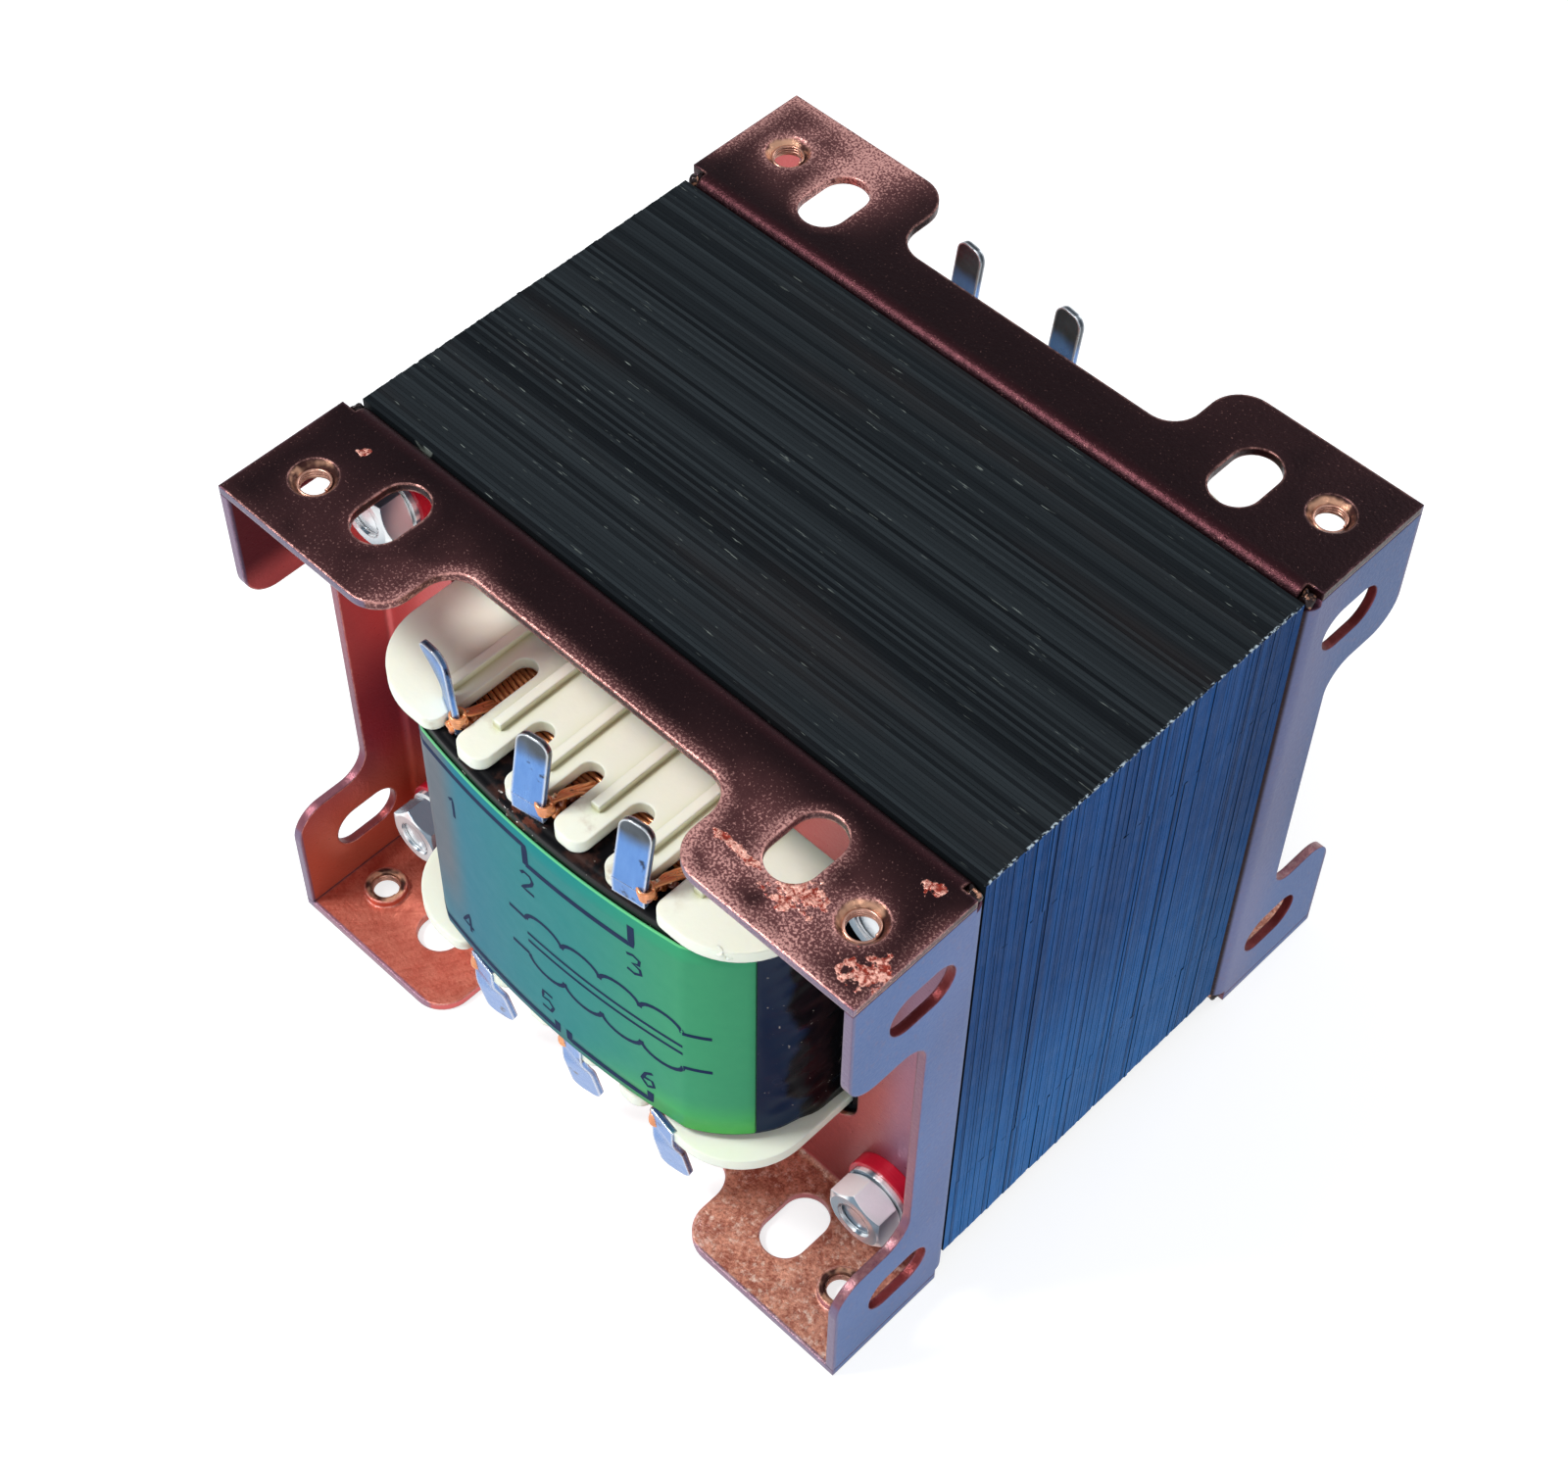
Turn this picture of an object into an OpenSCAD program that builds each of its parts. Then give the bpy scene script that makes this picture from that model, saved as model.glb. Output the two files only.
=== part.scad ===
// Audio output transformer: a laminated EI core clamped between two folded end frames,
// with a comb bobbin, its winding and ten solder lugs.
// X runs along the core's width, Y through the stack, Z up. The origin is the centre of
// the base, on the plane of the frames' lower feet. The nuts are on the -Y side.

/* [Core] */
// Lamination unit: the side limbs are one unit wide and the centre limb two
unit = 16; // [14:0.5:20]
// Depth of the lamination stack
stack_depth = 52; // [40:1:64]
// Diameter of the clamping holes through the core
core_hole_d = 5.6; // [5.4:0.1:6.4]

/* [End frames] */
// Thickness of the frame sheet
sheet = 1.2; // [0.8:0.1:1.6]
// Outer radius of the folds
bend_r = 2.2; // [1.8:0.1:3]
// How far the frame stands above the core
frame_rise = 0.6; // [0.2:0.1:2]
// How far the frame's feet reach below the core
frame_drop = 3; // [1:0.1:4]
// How far the frame stands out beside the core
frame_side = 0.8; // [0.2:0.1:2]
// Depth of the ears, from the core's face
ear_depth = 20.4; // [18:0.1:24]
// Length of an ear on the top and bottom flanges, from the core's side
ear_wide = 26; // [24:0.5:30]
// Length of an ear on the side flanges, from the frame's end
ear_tall = 19.5; // [18:0.5:24]
// Depth of the top and bottom flanges between the ears
recess_wide = 9.5; // [7:0.1:12]
// Depth of the side flanges between the ears
recess_tall = 8.2; // [7:0.1:12]
// Convex corner radius of the ears
ear_corner_r = 4.5; // [2:0.1:5]
// Concave radius where an ear meets the recess
ear_root_r = 4; // [2:0.1:5]
// Gap between a side flange and the flange above or below it
seam = 0.15; // [0.1:0.05:0.4]
// Gap all round between the coil window's edge and the core's own windows
window_margin = 1.8; // [1:0.1:2]
// Corner radius of the coil window
window_r = 5; // [2:0.5:7]
// Diameter of the clamping holes in the frame
frame_hole_d = 5.8; // [5.4:0.1:7]

/* [Mounting holes] */
// Width of a mounting slot
slot_w = 6.4; // [5:0.1:7]
// End to end length of a mounting slot
slot_len = 10; // [8:0.1:12]
// Slot centre, out from the core's face
slot_out = 9.6; // [9:0.1:11]
// Spacing of the top and bottom slots across the core
slot_span = 64; // [60:0.5:68]
// Side slot centre, in from the frame's end
side_slot_in = 10.5; // [9:0.1:12]
// Diameter of the small screw holes
screw_d = 4.1; // [2.5:0.1:4.5]
// Outer diameter of the collar drawn round a screw hole
collar_d = 5.8; // [5.2:0.1:6.4]
// Height of that collar above the sheet
collar_h = 1.1; // [0.6:0.1:2]
// Diameter of the rounded mouth of a screw hole
mouth_d = 5.9; // [4.6:0.1:6.4]
// Depth of that mouth
mouth_depth = 0.9; // [0.4:0.1:1.4]
// Screw hole centre, in from the core's side
screw_in = 5.8; // [5:0.1:7]
// Screw hole centre, out from the core's face
screw_out = 12.1; // [10:0.1:14]

/* [Bobbin] */
// Gap between the bobbin tube and the centre limb
limb_gap = 0.3; // [0.1:0.05:0.8]
// Wall of the bobbin tube
tube_wall = 1.5; // [1:0.1:2.5]
// Thickness of the bobbin's flanges
flange_t = 1.8; // [1.2:0.1:2.5]
// Gap between the bobbin and the core's windows
window_gap = 0.5; // [0.2:0.1:1]
// Reach of the flanges beyond the core's face
flange_reach = 18.5; // [17:0.1:19]
// Corner radius of the flanges
flange_r = 10; // [6:0.5:12]
// Width of a wire slot in the comb
comb_slot_w = 3.2; // [2.4:0.1:4]
// Straight length of a comb slot, from the flange's edge
comb_depth = 8; // [6:0.1:10]
// How much deeper the long slot is
long_extra = 4.9; // [2:0.1:6]
// Corner radius of a finger's end
finger_r = 1.8; // [0.8:0.1:2]
// Width of a rib along a finger
rib_w = 1.3; // [0.8:0.1:2]
// Height of a rib above the flange
rib_h = 1; // [0.6:0.1:1.6]
// Gap between a rib's inner end and the core's face
rib_gap = 0.3; // [0.1:0.1:1]
// Distance of the ribs' outer ends from the flange's edge
rib_in = 5; // [3:0.5:7]

/* [Winding] */
// Radius of the winding's corners
coil_r = 18; // [12:0.5:22]
// Radius of the winding's bulged front and back
bulge_r = 120; // [100:5:300]
// Gap between the winding's sides and the core's windows
coil_gap = 1; // [0.7:0.1:3]
// How far the winding bulges out in front of the bobbin's flanges
coil_out = 0.5; // [0:0.1:1]
// Thickness of the outer tape
tape_t = 0.6; // [0.3:0.1:1.2]
// Gap between the tape's edges and the bobbin's flanges
tape_gap = 0.8; // [0.4:0.1:2]
// Thickness of the label card
label_t = 0.3; // [0.2:0.05:0.5]
// Height of the label card
label_h = 39.5; // [30:0.5:42]
// How far the label sits below the winding's middle
label_low = 0.8; // [0:0.1:1]
// Label's left edge, from the middle
label_left = 25; // [15:0.5:28]
// Label's right edge, from the middle
label_right = 27.4; // [15:0.1:29]
// Diameter of the lead wires
lead_d = 0.9; // [0.5:0.1:1.2]
// Radius at which a lead bends over, on its centre line
lead_bend = 0.9; // [0.6:0.1:1.5]

/* [Solder lugs] */
// Width of a lug
lug_w = 4.4; // [3:0.1:5]
// Thickness of a lug
lug_t = 0.8; // [0.4:0.1:1.2]
// Height of the front top lugs beyond the flange
lug_h = 10.5; // [8:0.1:12]
// Height of the rear top lugs beyond the flange
rear_lug_h = 12.5; // [8:0.1:14]
// Height of the bottom lugs beyond the flange
low_lug_h = 13; // [8:0.1:14]
// Corner radius of a lug's tip
lug_tip_r = 1.6; // [0.5:0.1:1.8]
// Height above the flange at which the lugs are bent
knee_h = 0.8; // [0.5:0.1:1.5]
// How far a lug's blade reaches down over its root
knee_lap = 0.3; // [0.1:0.1:0.5]
// Lug centre, in from the flange's edge
lug_in = 0.5; // [0.4:0.1:3]
// Lug centre, to the side of its finger's centre line
lug_aside = 2.1; // [1:0.1:3]
// Turn of a lug about its own axis
lug_yaw = 9; // [0:1:15]
// Lean of the front lugs, and of those below, towards the core
lug_lean = 10; // [0:1:15]
// Lean of the rear lugs away from the core
rear_lug_lean = 8; // [0:1:12]
// Turn of the one lug that was bent aside
bent_turn = -34; // [-45:1:0]
// Sideways lean of the bent lug
bent_lean = 22; // [0:1:30]
// How far the bent lug stands in from its row
bent_back = 2.6; // [2:0.1:4]
// How much lower the bent lug stands than its row
bent_low = 1.8; // [0:0.1:3]
// Gap between the end of a lead and its lug
solder_gap = 0.3; // [0.1:0.1:0.6]

/* [Fasteners] */
// Diameter of the clamping bolts
bolt_d = 5; // [4:0.1:5.2]
// Radial gap between a bolt's shank and its nut
thread_gap = 0.05; // [0.02:0.01:0.1]
// Width across the flats of the nuts and bolt heads
hex_af = 8; // [7:0.1:9]
// Chamfer circle on a hexagon's face, as a share of its width across flats
hex_face_share = 0.95; // [0.85:0.01:1]
// Height of a nut
nut_h = 4; // [3:0.1:5]
// Height of a bolt head
head_h = 3.5; // [2.5:0.1:4]
// Depth of the bolt's end inside its nut
bolt_recess = 0.6; // [0.2:0.1:1.5]
// Diameter of the fibre washers
fibre_d = 10.4; // [9:0.1:12]
// Thickness of the fibre washers
fibre_t = 2; // [1:0.1:3]
// Diameter of the steel washers
washer_d = 9.2; // [8.6:0.1:11]
// Thickness of the steel washers
washer_t = 0.7; // [0.4:0.1:1.2]
// Radial gap between a bolt's shank and the washers
washer_gap = 0.15; // [0.05:0.05:0.4]

/* [Hidden] */
$fn = 48;
eps = 0.01;

core_w = 6 * unit;
core_h = 5 * unit;
core_z = frame_drop;
face_y = stack_depth / 2;
frame_w = core_w + 2 * frame_side;
frame_h = frame_drop + core_h + frame_rise;
bolt_x = core_w / 2 - unit / 2;
bolt_z_low = core_z + unit / 2;
bolt_z_high = core_z + core_h - unit / 2;

// Bobbin and comb, measured from the core's windows
bobbin_z = core_z + unit;
bobbin_h = 3 * unit - window_gap;
tube_w = 2 * (unit + limb_gap);
tube_d = stack_depth + 2 * limb_gap;
flange_half_w = 2 * unit - window_gap;
flange_half_d = face_y + flange_reach;
pitch = unit / 2;
comb_root = flange_reach - comb_depth;
long_root = comb_root - long_extra;
rib_end = flange_reach - rib_in;
finger_w = pitch - comb_slot_w;
finger_xs = [-1.5 * pitch, -0.5 * pitch, 0.5 * pitch, 1.5 * pitch];
ear_x = 2 * pitch + comb_slot_w / 2;
long_slot_x = -2 * pitch;
short_slot_xs = [-pitch, 0, pitch, 2 * pitch];
rib_xs = concat([-2.5 * pitch], finger_xs, [2.5 * pitch]);

coil_z = bobbin_z + flange_t;
coil_h = bobbin_h - 2 * flange_t;
coil_mid_z = coil_z + coil_h / 2;
coil_half_d = flange_half_d + coil_out;
coil_half_w = 2 * unit - coil_gap;

// Each lug: name, finger line, extra turn, sideways lean, set back, share of its row's lean,
// how much lower it stands
LUG_1 = ["1", -2.5, 0, 0, 0, 1, 0];
BENT_LUG_1 = ["1", -2.45, bent_turn, bent_lean, bent_back, 0.3, bent_low];
LUG_2 = ["2", -0.5, 0, 0, 0, 1, 0];
LUG_3 = ["3", 1.5, 0, 0, 0, 1, 0];
// Each row of lugs: name, 1 if at the rear, 1 if at the bottom, height, lean to the core, lugs
ROWS = [
    ["front_top", 0, 0, lug_h, lug_lean, [BENT_LUG_1, LUG_2, LUG_3]],
    ["front_bottom", 0, 1, low_lug_h, lug_lean, [LUG_1, LUG_2, LUG_3]],
    ["rear_top", 1, 0, rear_lug_h, -rear_lug_lean, [LUG_1, LUG_2]],
    ["rear_bottom", 1, 1, low_lug_h, -rear_lug_lean, [LUG_1, LUG_2]]
];
// Depth of the notches in front of the lugs, past the flange's edge
notch_d = lug_in + lug_w * sin(lug_yaw);
// Each bolt's corner: name, place, and the turn at which its nut and head were left
CORNERS = [
    ["top_left", -bolt_x, bolt_z_high, 52],
    ["top_right", bolt_x, bolt_z_high, 25],
    ["bottom_left", -bolt_x, bolt_z_low, -14],
    ["bottom_right", bolt_x, bolt_z_low, -22]
];

steel_dark = [0.16, 0.19, 0.2];
copper_plate = [0.45, 0.24, 0.2];
cream = [0.87, 0.9, 0.84];
copper = [0.78, 0.43, 0.27];
tinned = [0.7, 0.73, 0.77];
zinc = [0.75, 0.76, 0.76];
fibre_red = [0.7, 0.08, 0.16];

// ---------- Core ----------

// Stands a drawing of the XZ plane up as a slab, from the front face y0 backwards
module upright(y0, depth) {
    translate([0, y0 + depth, 0])
        rotate([90, 0, 0])
            linear_extrude(depth)
                children();
}

// A rectangle centred on the origin with all four corners rounded
module rounded_rect(w, h, r) {
    square([w, h - 2 * r], center = true);
    square([w - 2 * r, h], center = true);
    for (sx = [-1, 1], sy = [-1, 1])
        translate([sx * (w / 2 - r), sy * (h / 2 - r)])
            circle(r = r);
}

module core_holes(z) {
    for (s = [-1, 1])
        translate([s * bolt_x, z])
            circle(d = core_hole_d);
}

module core_e_stack() {
    color(steel_dark)
        upright(-face_y, stack_depth)
            difference() {
                translate([-core_w / 2, core_z])
                    square([core_w, 4 * unit]);
                for (s = [-1, 1])
                    translate([s * 1.5 * unit - unit / 2, core_z + unit])
                        square([unit, 3 * unit + eps]);
                core_holes(bolt_z_low);
            }
}

module core_i_stack() {
    color(steel_dark)
        upright(-face_y, stack_depth)
            difference() {
                translate([-core_w / 2, core_z + 4 * unit])
                    square([core_w, unit]);
                core_holes(bolt_z_high);
            }
}

// ---------- End frames ----------

module slot_shape() {
    straight = slot_len - slot_w;
    square([slot_w, straight], center = true);
    for (s = [-1, 1])
        translate([0, s * straight / 2])
            circle(d = slot_w);
}

// One end of a flange: an ear with a rounded corner and a fillet down to the recess.
// The flange's length is along X, its depth along Y, and its end is at x = 0.
module ear_shape(ear_len, recess) {
    translate([0, bend_r])
        square([ear_len - ear_corner_r, ear_depth - bend_r]);
    translate([0, bend_r])
        square([ear_len, ear_depth - ear_corner_r - bend_r]);
    translate([ear_len - ear_corner_r, ear_depth - ear_corner_r])
        circle(r = ear_corner_r);
    difference() {
        translate([ear_len - eps, recess - eps])
            square(ear_root_r + eps);
        translate([ear_len + ear_root_r, recess + ear_root_r])
            circle(r = ear_root_r);
    }
}

// A whole flange, centred on X, with a slot slot_in from each end
module flange_shape(len, ear_len, recess, slot_in) {
    difference() {
        union() {
            translate([-len / 2, bend_r])
                square([len, recess - bend_r]);
            for (s = [0, 1])
                mirror([s, 0])
                    translate([-len / 2, 0])
                        ear_shape(ear_len, recess);
        }
        for (s = [-1, 1])
            translate([s * (len / 2 - slot_in), slot_out])
                slot_shape();
    }
}

// The fold that joins a flange to the plate: a quarter of a tube, len long, centred on X
module fold(len) {
    translate([0, bend_r, -bend_r])
        rotate([0, -90, 180])
            translate([0, 0, -len / 2])
                rotate_extrude(angle = 90)
                    translate([bend_r - sheet, 0])
                        square([sheet, len]);
}

// Places one of the small screw holes of a top or bottom flange
module at_screws() {
    for (s = [-1, 1])
        translate([s * (core_w / 2 - screw_in), screw_out, 0])
            children();
}

// A top flange with its fold. Its outer face is at z = 0 and its depth runs along +Y
module wide_flange() {
    fold(frame_w - 2 * bend_r);
    difference() {
        union() {
            translate([0, 0, -sheet])
                linear_extrude(sheet)
                    flange_shape(
                        frame_w,
                        ear_wide + frame_side,
                        recess_wide,
                        (frame_w - slot_span) / 2
                    );
            at_screws()
                translate([0, 0, -sheet - collar_h])
                    cylinder(d = collar_d, h = collar_h + sheet / 2);
        }
        at_screws()
            translate([0, 0, -sheet - collar_h - eps])
                cylinder(d = screw_d, h = sheet + collar_h + 2 * eps);
        at_screws()
            translate([0, 0, -mouth_depth])
                cylinder(d1 = screw_d, d2 = mouth_d, h = mouth_depth + eps);
    }
}

// A side flange with its fold, drawn the same way. It fits between the wide flanges
module tall_flange() {
    end = sheet + seam;
    fold(frame_h - 2 * bend_r);
    translate([0, 0, -sheet])
        linear_extrude(sheet)
            flange_shape(frame_h - 2 * end, ear_tall - end, recess_tall, side_slot_in - end);
}

// The flat plate of the frame, drawn in XZ
module plate_shape() {
    window_w = 4 * unit + 2 * window_margin;
    window_h = 3 * unit + 2 * window_margin;
    difference() {
        translate([-frame_w / 2 + bend_r, bend_r])
            square([frame_w - 2 * bend_r, frame_h - 2 * bend_r]);
        translate([0, core_z + core_h / 2])
            rounded_rect(window_w, window_h, window_r);
        for (x = [-bolt_x, bolt_x], z = [bolt_z_low, bolt_z_high])
            translate([x, z])
                circle(d = frame_hole_d);
    }
}

// A whole frame. Its plate's inner face is on y = 0 and its flanges run towards +Y
module frame_stamping() {
    upright(0, sheet)
        plate_shape();
    translate([0, 0, frame_h])
        wide_flange();
    mirror([0, 0, 1])
        wide_flange();
    for (s = [0, 1])
        mirror([s, 0, 0])
            translate([frame_w / 2, 0, frame_h / 2])
                rotate([0, 90, 0])
                    tall_flange();
}

module front_frame() {
    color(copper_plate)
        translate([0, -face_y, 0])
            mirror([0, 1, 0])
                frame_stamping();
}

module rear_frame() {
    color(copper_plate)
        translate([0, face_y, 0])
            frame_stamping();
}

// ---------- Bobbin ----------

// One tongue of the comb, from x0 to x1, with a rounded end
module tongue(x0, x1) {
    end_y = -flange_half_d;
    translate([x0, end_y + finger_r])
        square([x1 - x0, flange_reach - comb_root - finger_r + eps]);
    translate([x0 + finger_r, end_y])
        square([x1 - x0 - 2 * finger_r, finger_r + eps]);
    for (x = [x0 + finger_r, x1 - finger_r])
        translate([x, end_y + finger_r])
            circle(r = finger_r);
}

// The front half of a flange: two ears and four fingers on a common root
module comb_half() {
    root_y = -face_y - comb_root;
    difference() {
        intersection() {
            rounded_rect(2 * flange_half_w, 2 * flange_half_d, flange_r);
            union() {
                translate([-flange_half_w, root_y])
                    square([2 * flange_half_w, -root_y]);
                for (s = [0, 1])
                    mirror([s, 0])
                        tongue(ear_x, flange_half_w + finger_r);
                for (x = finger_xs)
                    tongue(x - finger_w / 2, x + finger_w / 2);
            }
        }
        for (x = short_slot_xs)
            translate([x, root_y])
                circle(d = comb_slot_w);
        translate([long_slot_x - comb_slot_w / 2, root_y - eps])
            square([comb_slot_w, comb_root - long_root + eps]);
        translate([long_slot_x, -face_y - long_root])
            circle(d = comb_slot_w);
    }
}

// Places something at lug l, turned as the lug is
module at_lug(l) {
    translate([pitch * l[1] + lug_aside, -flange_half_d + lug_in + l[4]])
        rotate(lug_yaw + l[2])
            children();
}

// The cut that holds lug l: open to the flange's edge, or a slit if the lug is set back
module lug_cut(l) {
    open_d = l[4] == 0 ? notch_d : 0;
    at_lug(l)
        translate([-lug_w / 2, -lug_t / 2 - open_d])
            square([lug_w, lug_t + open_d]);
}

// A top flange with its ribs, its upper face at z = 0, and a cut for each lug of the given rows
module comb_flange(rows) {
    for (w = rows)
        mirror([0, w[1], 0]) {
            translate([0, 0, -flange_t])
                linear_extrude(flange_t)
                    difference() {
                        comb_half();
                        for (l = w[5])
                            lug_cut(l);
                    }
            for (x = rib_xs)
                translate([x - rib_w / 2, -face_y - rib_end, -eps])
                    cube([rib_w, rib_end - rib_gap, rib_h + eps]);
        }
}

module bobbin() {
    color(cream)
        difference() {
            union() {
                translate([0, 0, bobbin_z])
                    linear_extrude(bobbin_h)
                        square([tube_w + 2 * tube_wall, tube_d + 2 * tube_wall], center = true);
                for (level = [0, 1])
                    at_level(level)
                        comb_flange([for (w = ROWS) if (w[2] == level) w]);
            }
            translate([0, 0, bobbin_z - rib_h - eps])
                linear_extrude(bobbin_h + 2 * (rib_h + eps))
                    square([tube_w, tube_d], center = true);
        }
}

// Puts what stands on a flange on the top flange or, turned over, under the bottom one
module at_level(level) {
    translate([0, 0, level == 0 ? bobbin_z + bobbin_h : bobbin_z])
        rotate([0, 180 * level, 0])
            children();
}

// Puts what belongs to a front top row of lugs at row w
module at_row(w) {
    at_level(w[2])
        mirror([0, w[1], 0])
            children();
}

// ---------- Winding, tape, label and leads ----------

// The winding's plan: a rounded rectangle with a bulged front and back
module coil_section(inset) {
    half_w = coil_half_w - inset;
    half_d = coil_half_d - inset;
    intersection() {
        rounded_rect(2 * half_w, 2 * half_d, coil_r - inset);
        bulge_circle(1, inset);
        bulge_circle(-1, inset);
    }
}

module bulge_circle(s, inset) {
    translate([0, s * (bulge_r - coil_half_d)])
        circle(r = bulge_r - inset, $fn = 180);
}

module winding() {
    color(copper)
        translate([0, 0, coil_z])
            linear_extrude(coil_h)
                difference() {
                    coil_section(tape_t);
                    square([tube_w + 2 * tube_wall, tube_d + 2 * tube_wall], center = true);
                }
}

module winding_tape() {
    color([0.08, 0.08, 0.09])
        translate([0, 0, coil_z + tape_gap])
            linear_extrude(coil_h - 2 * tape_gap)
                difference() {
                    coil_section(0);
                    coil_section(tape_t);
                }
}

module label_card() {
    color([0.22, 0.6, 0.42])
        translate([0, 0, coil_mid_z - label_low - label_h / 2])
            linear_extrude(label_h)
                intersection() {
                    difference() {
                        coil_section(-label_t);
                        coil_section(0);
                    }
                    translate([-label_left, -2 * coil_half_d])
                        square([label_left + label_right, 2 * coil_half_d - face_y]);
                }
}

// A lead that rises from the winding through a slot, bends over and lies to the back of lug l
module lead(l) {
    $fn = 24;
    slot_x = pitch * ceil(l[1]);
    slot_y = -face_y - comb_root - comb_slot_w / 2;
    tip_x = pitch * l[1] + lug_aside + (lug_w - lead_d) / 2 * cos(lug_yaw + l[2]);
    tip_y = -flange_half_d + lug_in + l[4] + lug_t / 2 + (lug_w - lead_d) / 2 * sin(lug_yaw + l[2]);
    run = norm([tip_x - slot_x, tip_y - slot_y]) - solder_gap;
    translate([slot_x, slot_y, 0])
        rotate([0, 0, atan2(tip_y - slot_y, tip_x - slot_x)]) {
            translate([0, 0, -flange_t])
                cylinder(d = lead_d, h = flange_t);
            translate([lead_bend, 0, 0])
                rotate([90, 0, 0])
                    rotate([0, 0, 90])
                        rotate_extrude(angle = 90)
                            translate([lead_bend, 0])
                                circle(d = lead_d);
            translate([lead_bend, 0, lead_bend])
                rotate([0, 90, 0])
                    cylinder(d = lead_d, h = run - lead_bend);
        }
}

module leads(side) {
    color(copper)
        for (w = ROWS)
            if (w[1] == side)
                at_row(w)
                    for (l = w[5])
                        lead(l);
}

// ---------- Solder lugs ----------

// A lug's blade: a flat tab with a rounded tip, standing on z = 0
module blade(blade_h) {
    upright(-lug_t / 2, lug_t) {
        translate([-lug_w / 2, 0])
            square([lug_w, blade_h - lug_tip_r]);
        translate([-lug_w / 2 + lug_tip_r, 0])
            square([lug_w - 2 * lug_tip_r, blade_h]);
        for (s = [-1, 1])
            translate([s * (lug_w / 2 - lug_tip_r), blade_h - lug_tip_r])
                circle(r = lug_tip_r);
    }
}

// A lug h high: a root through the flange, and a blade that is bent over where it leaves it
module lug(l, h, lean) {
    translate([0, 0, -flange_t])
        linear_extrude(flange_t + knee_h)
            at_lug(l)
                square([lug_w, lug_t], center = true);
    translate([0, 0, knee_h - knee_lap])
        at_lug(l)
            rotate([0, 0, -lug_yaw - l[2]])
                rotate([-lean * l[5], -l[3], 0])
                    rotate([0, 0, lug_yaw + l[2]])
                        blade(h - knee_h + knee_lap);
}

module placed_lug(w, l) {
    color(tinned)
        at_row(w)
            lug(l, w[3] - l[6], w[4]);
}

// ---------- Clamping bolts ----------

// Turns +Z to -Y and moves out in front of the core's front face
module at_front(c, out) {
    translate([c[1], -face_y - out, c[2]])
        rotate([90, 0, 0])
            children();
}

module at_rear(c, out) {
    translate([c[1], face_y + out, c[2]])
        rotate([-90, 0, 0])
            children();
}

// A hexagon with both faces chamfered, standing on z = 0
module hexagon(h) {
    corner = hex_af / 2 / cos(30);
    face = hex_af / 2 * hex_face_share;
    chamfer = (corner - face) * tan(30);
    intersection() {
        cylinder(r = corner, h = h, $fn = 6);
        rotate_extrude()
            polygon([
                [0, 0],
                [face, 0],
                [corner, chamfer],
                [corner, h - chamfer],
                [face, h],
                [0, h]
            ]);
    }
}

module washer(d, t) {
    difference() {
        cylinder(d = d, h = t);
        translate([0, 0, -eps])
            cylinder(d = bolt_d + 2 * washer_gap, h = t + 2 * eps);
    }
}

module bolt(c) {
    head_out = sheet + fibre_t;
    end_out = sheet + fibre_t + washer_t + nut_h - bolt_recess;
    color(zinc) {
        at_front(c, end_out)
            mirror([0, 0, 1])
                cylinder(d = bolt_d, h = end_out + stack_depth + head_out);
        at_rear(c, head_out)
            rotate([0, 0, c[3]])
                hexagon(head_h);
    }
}

module nut(c) {
    color(zinc)
        at_front(c, sheet + fibre_t + washer_t)
            rotate([0, 0, c[3]])
                difference() {
                    hexagon(nut_h);
                    translate([0, 0, -eps])
                        cylinder(d = bolt_d + 2 * thread_gap, h = nut_h + 2 * eps);
                }
}

module nut_washer(c) {
    color(zinc)
        at_front(c, sheet + fibre_t)
            washer(washer_d, washer_t);
}

module nut_fibre_washer(c) {
    color(fibre_red)
        at_front(c, sheet)
            washer(fibre_d, fibre_t);
}

module head_fibre_washer(c) {
    color(fibre_red)
        at_rear(c, sheet)
            washer(fibre_d, fibre_t);
}

core_e_stack();
core_i_stack();
front_frame();
rear_frame();
bobbin();
winding();
winding_tape();
label_card();
leads(0);  // lead_wires_front
leads(1);  // lead_wires_rear
for (w = ROWS, l = w[5])
    placed_lug(w, l);
for (c = CORNERS) {
    bolt(c);
    nut(c);
    nut_washer(c);
    nut_fibre_washer(c);
    head_fibre_washer(c);
}
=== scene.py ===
import math
import random

import bpy
from mathutils import Matrix, Vector


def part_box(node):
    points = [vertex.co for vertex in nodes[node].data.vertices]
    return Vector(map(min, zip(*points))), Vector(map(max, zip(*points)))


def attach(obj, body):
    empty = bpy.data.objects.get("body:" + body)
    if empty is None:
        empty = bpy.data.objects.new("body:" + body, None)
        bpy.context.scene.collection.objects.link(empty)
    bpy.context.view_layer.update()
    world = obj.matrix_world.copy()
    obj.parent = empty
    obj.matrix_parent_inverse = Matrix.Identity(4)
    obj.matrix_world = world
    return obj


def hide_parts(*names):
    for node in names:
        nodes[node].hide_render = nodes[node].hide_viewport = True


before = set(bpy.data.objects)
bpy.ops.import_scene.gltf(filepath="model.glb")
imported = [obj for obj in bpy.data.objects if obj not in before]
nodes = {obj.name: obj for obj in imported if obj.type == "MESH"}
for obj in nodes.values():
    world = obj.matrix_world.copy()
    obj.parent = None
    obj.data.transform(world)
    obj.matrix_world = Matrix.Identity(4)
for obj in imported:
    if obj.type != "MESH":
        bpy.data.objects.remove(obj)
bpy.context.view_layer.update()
MM = 0.001
TURN = 2 * math.pi
rng = random.Random(11)

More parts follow.
